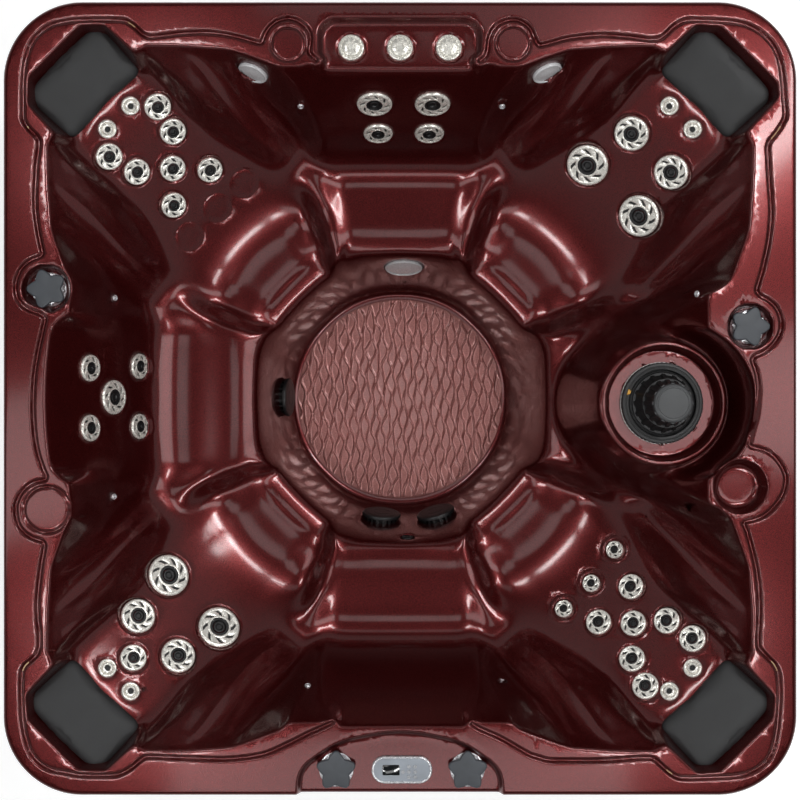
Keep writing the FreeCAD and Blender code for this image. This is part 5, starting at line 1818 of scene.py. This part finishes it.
@dataclass
class Fittings:
    """Suction covers, lamps' lenses, the drain and the cabinet's screws."""

    finishes: Finishes
    repeater: Repeater
    lens_rings: int = 6
    screw_radius: float = 0.006
    screw_steps: int = 24
    pockets: list[Pocket] = field(default_factory=list)

    def suction(self, radius: float) -> Form:
        """Black domed cover that stands off the wall on a ribbed neck."""
        r = radius
        shares = ((0.70, 0.0), (0.70, 0.0135), (0.985, 0.0142), (1.0, 0.0160), (1.0, 0.0215), (0.975, 0.0245),
                  (0.90, 0.0262), (0.80, 0.0268), (0.785, 0.0260), (0.765, 0.0260), (0.75, 0.0269), (0.45, 0.0276),
                  (0.435, 0.0268), (0.415, 0.0268), (0.40, 0.0277), (0.0, 0.0280))
        made = Form().lathe(scaled(shares, r), 72)
        side = vane(0.995 * r, 1.012 * r, 0.0, 0.0035, 0.0155, 0.0225, 1)
        made.join(self.repeater.around(side, 48, self.finishes["black_plastic"]))
        port = vane(0.69 * r, 0.90 * r, 0.0, 0.005, 0.001, 0.0142, 1)
        return made.join(self.repeater.around(port, 18, self.finishes["black_plastic"]))

    def lens(self, radius: float, height: float) -> Form:
        """Lens in a narrow rim, with rings of prisms."""
        r = radius
        h = height
        rim = min(0.006, 0.25 * r)
        inner = r - 1.15 * rim
        profile = [(r, 0.0), (r, 0.55 * h), (r - 0.25 * rim, 0.85 * h), (r - 0.6 * rim, h), (r - rim, 0.9 * h),
                   (inner, 0.55 * h)]
        for k in range(self.lens_rings):
            outer = inner * (1 - k / (self.lens_rings + 1))
            profile.append((outer - 0.02 * inner, (0.62 + 0.03 * k) * h))
            profile.append((outer - 0.11 * inner, (0.56 + 0.03 * k) * h))
        profile.append((0.0, 0.82 * h))
        return Form().lathe(profile, 56)

    def drain(self, radius: float) -> Form:
        """Domed grille with slots between radial bars."""
        r = radius
        shares = ((1.0, 0.0), (1.0, 0.0016), (0.93, 0.0032), (0.82, 0.0034),
                  (0.78, 0.0012), (0.34, 0.0012), (0.30, 0.0040), (0.0, 0.0046))
        made = Form().lathe(scaled(shares, r), 40)
        bar = vane(0.28 * r, 0.84 * r, 0.0, 0.10 * r, 0.0005, 0.0036, 2)
        return made.join(self.repeater.around(bar, 12, self.finishes["black_plastic"]))

    def screw(self) -> Form:
        """Pan-head screw with a six-lobed socket."""
        r = self.screw_radius
        count = self.screw_steps
        top, floor = 0.0030, 0.0013
        land = 0.48 * r
        made = Form().lathe([(r, 0.0), (r, 0.0008), (0.93 * r, 0.0019), (0.74 * r, 0.0027), (land, top)], count)
        rim, socket = [], []
        for k in range(count):
            angle = 2 * math.pi * k / count
            lobed = (0.36 + 0.08 * math.cos(6 * angle)) * r * 0.92
            rim.append((land * math.cos(angle), land * math.sin(angle), top))
            socket.append((lobed * math.cos(angle), lobed * math.sin(angle), 0.0014))
        points = rim + [(x * 0.95, y * 0.95, top) for x, y, _ in socket] + socket + [(0.0, 0.0, floor)]
        faces = bands(3, count)
        for k in range(count):
            faces.append((2 * count + k, 2 * count + (k + 1) % count, 3 * count))
        return made.add(points, faces)

    def build(self, frame: dict) -> None:
        """Makes every small fitting on its solid's place."""
        plan = (
            ("suction_covers", 0.027, self.suction, "black_plastic", 0.71),
            ("footwell_light", 0.007, partial(self.lens, height=0.007), "lens_white", 1.0),
            ("wall_lights", 0.009, partial(self.lens, height=0.009), "lens_white", 1.0),
            ("point_lights", 0.004, partial(self.lens, height=0.004), "lens_white", 1.0),
            ("drain_grille", 0.004, self.drain, "black_plastic", 1.0),
        )
        for node, height, shape, slot, share in plan:
            form = Form()
            for solid in islands(frame["nodes"][node]):
                place, radius = round_seat(solid, height)
                form.join(shape(radius), place)
                self.pockets.append((place, radius * share + POCKET_MARGIN, POCKET_FILLET))
            finish = "bezel_silver" if node == "point_lights" else slot
            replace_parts(form.piece(node + "_dressed", [self.finishes[finish]], ROOT, slot), node)
        form = Form()
        for solid in islands(frame["nodes"]["panel_screws"]):
            place, _ = round_seat(solid, 0.003, outward=True)
            form.join(self.screw(), place)
        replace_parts(form.piece("panel_screws_dressed", [self.finishes["steel"]], ROOT, "steel"), "panel_screws")


@dataclass
class FootwellFloor:
    """Raised lattice on the footwell's floor that keeps feet from slipping."""

    finishes: Finishes
    radius: float = 0.352
    flat: float = 0.337
    level: float = 0.112
    pitch: Pair = (0.018, 0.102)
    swing: float = 0.0066
    line: float = 0.0052
    relief: float = 0.0046
    pad: float = 0.0006
    sunk: float = 0.002
    step: float = 0.0026

    def height(self, x: Array, y: Array) -> Array:
        """Relief of the lattice: waved ridges that meet and part in turn."""
        px, py = self.pitch
        total = np.zeros_like(x)
        x = x + 0.0035 * np.sin(31 * y + 17 * x) + 0.0022 * np.sin(83 * y - 41 * x + 1.3)
        y = y + 0.011 * np.sin(23 * x + 0.7) + 0.006 * np.sin(61 * x - 19 * y)
        wave = self.swing * np.cos(2 * math.pi * y / py)
        for shift, sign in ((0.0, 1.0), (0.5, -1.0)):
            offset = (x - sign * wave) / (2 * px) + shift
            near = (offset - np.round(offset)) * 2 * px
            total = np.maximum(total, np.exp(-(near / (self.line * 0.55)) ** 2))
        return total

    def build(self) -> None:
        """Makes the lattice as a thin pad on the floor, in a lighter copy of the red acrylic that paints light onto it.
        """
        count = int(2 * self.radius / self.step)
        line = np.linspace(-1, 1, count + 1)
        u, v = np.meshgrid(line, line)
        x = self.radius * u * np.sqrt(1 - v * v / 2)
        y = self.flat * v * np.sqrt(1 - u * u / 2)
        inward = 1 - np.sqrt((x / self.radius) ** 2 + (y / self.flat) ** 2)
        fade = step_smooth(0.0, 0.05, inward)
        z = self.level + self.pad * step_smooth(0.0, 0.012, inward) + self.relief * fade * self.height(x, y)
        top = np.stack([x, y, z], axis=-1).reshape(-1, 3)
        border = Shell.ring(count)
        rim = top[border].copy()
        rim[:, 2] = self.level - self.sunk
        quads = Shell.quads(count, 0, False).tolist()
        lower = np.arange(len(border)) + len(top)
        quads += Shell.strip(border, lower).tolist()
        quads.append(lower[::-1].tolist())
        form = Form().add(np.concatenate([top, rim]).tolist(), quads)
        # The lattice takes the lighter copy of the red acrylic: painted light on the same sheet as the shell.
        form.piece("footwell_lattice", [self.finishes["acrylic_floor_painted_light"]], ROOT, "acrylic_red", 60.0)


@dataclass
class Studio:
    """Camera straight above the tub, a pale floor and soft lamps."""

    camera_height: float = 3.914
    camera_y: float = -0.004
    lens: float = 50.36
    floor: Triple = (0.86, 0.86, 0.86)
    glow: float = 0.5
    ground_size: float = 30.0
    ground_gap: float = 0.0005
    greys: tuple[Pair, ...] = ((0.0, 0.62), (0.10, 0.58), (0.30, 0.50), (0.50, 0.38), (0.60, 0.012), (1.0, 0.025))
    strip_power: float = 22.0

    def build(self) -> None:
        """Sets up everything that isn't part of the object."""
        scene = bpy.context.scene
        scene.view_settings.view_transform = "Standard"
        camera = placed("camera", bpy.data.cameras.new("camera"))
        camera.data.lens = self.lens
        camera.data.sensor_width = 36.0
        camera.location = (0.0, self.camera_y, self.camera_height)
        camera.data.clip_start = 0.05
        camera.data.clip_end = 100.0
        scene.camera = camera
        self.ground()
        self.sky()
        self.lamps()

    def ground(self) -> None:
        """Pale floor that shows as white to the camera and keeps the tub's shadow."""
        size = self.ground_size
        mesh = bpy.data.meshes.new("floor")
        mesh.from_pydata([(-size, -size, 0), (size, -size, 0), (size, size, 0), (-size, size, 0)], [], [(0, 1, 2, 3)])
        board = NodeBoard("floor")
        board.set(Base_Color=(*self.floor, 1.0), Roughness=0.9, Emission_Color=(1.0, 1.0, 1.0, 1.0))
        path = board.node("ShaderNodeLightPath")
        seen = board.node("ShaderNodeMath", operation="ADD")
        board.link(path.outputs["Is Camera Ray"], seen.inputs[0])
        board.link(path.outputs["Is Glossy Ray"], seen.inputs[1])
        both = board.node("ShaderNodeMath", operation="ADD")
        board.link(seen.outputs["Value"], both.inputs[0])
        board.link(path.outputs["Is Transmission Ray"], both.inputs[1])
        strength = board.ramp(both.outputs["Value"], 0.0, 1.0, 0.0, self.glow)
        board.link(strength, board.shader.inputs["Emission Strength"])
        mesh.materials.append(board.material)
        floor = placed("floor", mesh)
        floor.location.z = -self.ground_gap

    def sky(self) -> None:
        """Pale sky near the horizon that darkens overhead, so that the deep walls keep their contrast."""
        world = bpy.data.worlds.new("surroundings")
        bpy.context.scene.world = world
        world.use_nodes = True
        world.node_tree.nodes.clear()
        nodes = wired(world.node_tree, {
            "coords": "ShaderNodeTexCoord", "split": "ShaderNodeSeparateXYZ", "ramp": "ShaderNodeValToRGB",
            "soft": "ShaderNodeBackground", "output": "ShaderNodeOutputWorld",
        }, (
            ("coords", "Generated", "split", "Vector"), ("split", "Z", "ramp", "Fac"),
            ("ramp", "Color", "soft", "Color"), ("soft", "Background", "output", "Surface"),
        ))
        stops = nodes["ramp"].color_ramp.elements
        for _ in range(len(self.greys) - 2):
            stops.new(0.5)
        for stop, (height, grey) in zip(stops, self.greys):
            stop.position = height
            stop.color = (grey, grey, grey, 1.0)

    def lamps(self) -> None:
        """A soft box by the camera, panels round the tub and strips over its corners."""
        self.lamp("overhead", (0.0, 0.0, 4.5), (0.0, 0.0, 0.5), (0.7, 0.7), 3.0)
        self.lamp("left", (-2.3, -0.4, 4.2), (-0.5, 0.0, 0.7), (0.8, 2.4), 17.0)
        self.lamp("right", (2.3, 0.0, 4.2), (0.5, 0.0, 0.7), (0.8, 2.6), 24.0)
        self.lamp("front", (0.0, -2.3, 4.2), (0.0, -0.5, 0.7), (2.6, 0.8), 17.0)
        self.lamp("back", (0.3, 2.35, 4.2), (0.0, 0.5, 0.7), (2.2, 0.7), 4.0)
        self.lamp("corner", (2.25, 1.6, 4.2), (0.6, 0.4, 0.7), (0.3, 1.6), 30.0)
        for sx, sy in CORNERS:
            place, target = (1.42 * sx, 1.42 * sy, 4.0), (-0.3 * sx, -0.3 * sy, 0.5)
            self.lamp(f"strip_{sx}_{sy}", place, target, (0.9, 0.3), self.strip_power)

    @staticmethod
    def lamp(name: str, place: Triple, target: Triple, size: Pair, power: float) -> None:
        """Adds one rectangular lamp aimed at a point."""
        data = bpy.data.lights.new(name, "AREA")
        data.shape = "RECTANGLE"
        data.size, data.size_y = size
        data.energy = power
        made = placed(name, data)
        made.location = place
        aim = Vector(target) - Vector(place)
        made.rotation_euler = aim.to_track_quat("-Z", "Y").to_euler()


def main() -> None:
    """Builds every sub-assembly in order."""
    logging.basicConfig(level=logging.INFO, format="%(name)s %(message)s")
    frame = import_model()
    finishes = Finishes()
    finishes.dress(frame)
    Studio().build()
    collar_low, collar_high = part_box("filter_collar")
    filter_place = over(collar_low, collar_high).translation + UP * collar_low[2]
    repeater = Repeater()
    jets = Jets(finishes, repeater)
    jets.build(frame)
    fittings = Fittings(finishes, repeater)
    fittings.build(frame)
    Knobs(finishes, repeater).build(frame)
    pillows = Pillows(finishes)
    pillows.build(frame)
    ControlPanel(finishes).build(frame)
    FilterSet(finishes, repeater).build(filter_place)
    FootwellFloor(finishes).build()
    shell = Shell(pockets=jets.pockets + fittings.pockets, rings=jets.rings,
                  pillow_back=pillows.back + POCKET_MARGIN, pillow_half=pillows.half + POCKET_MARGIN)
    shell.build(frame["nodes"]["tub_shell"], finishes["acrylic_red"], filter_place)


if __name__ == "__main__":
    main()
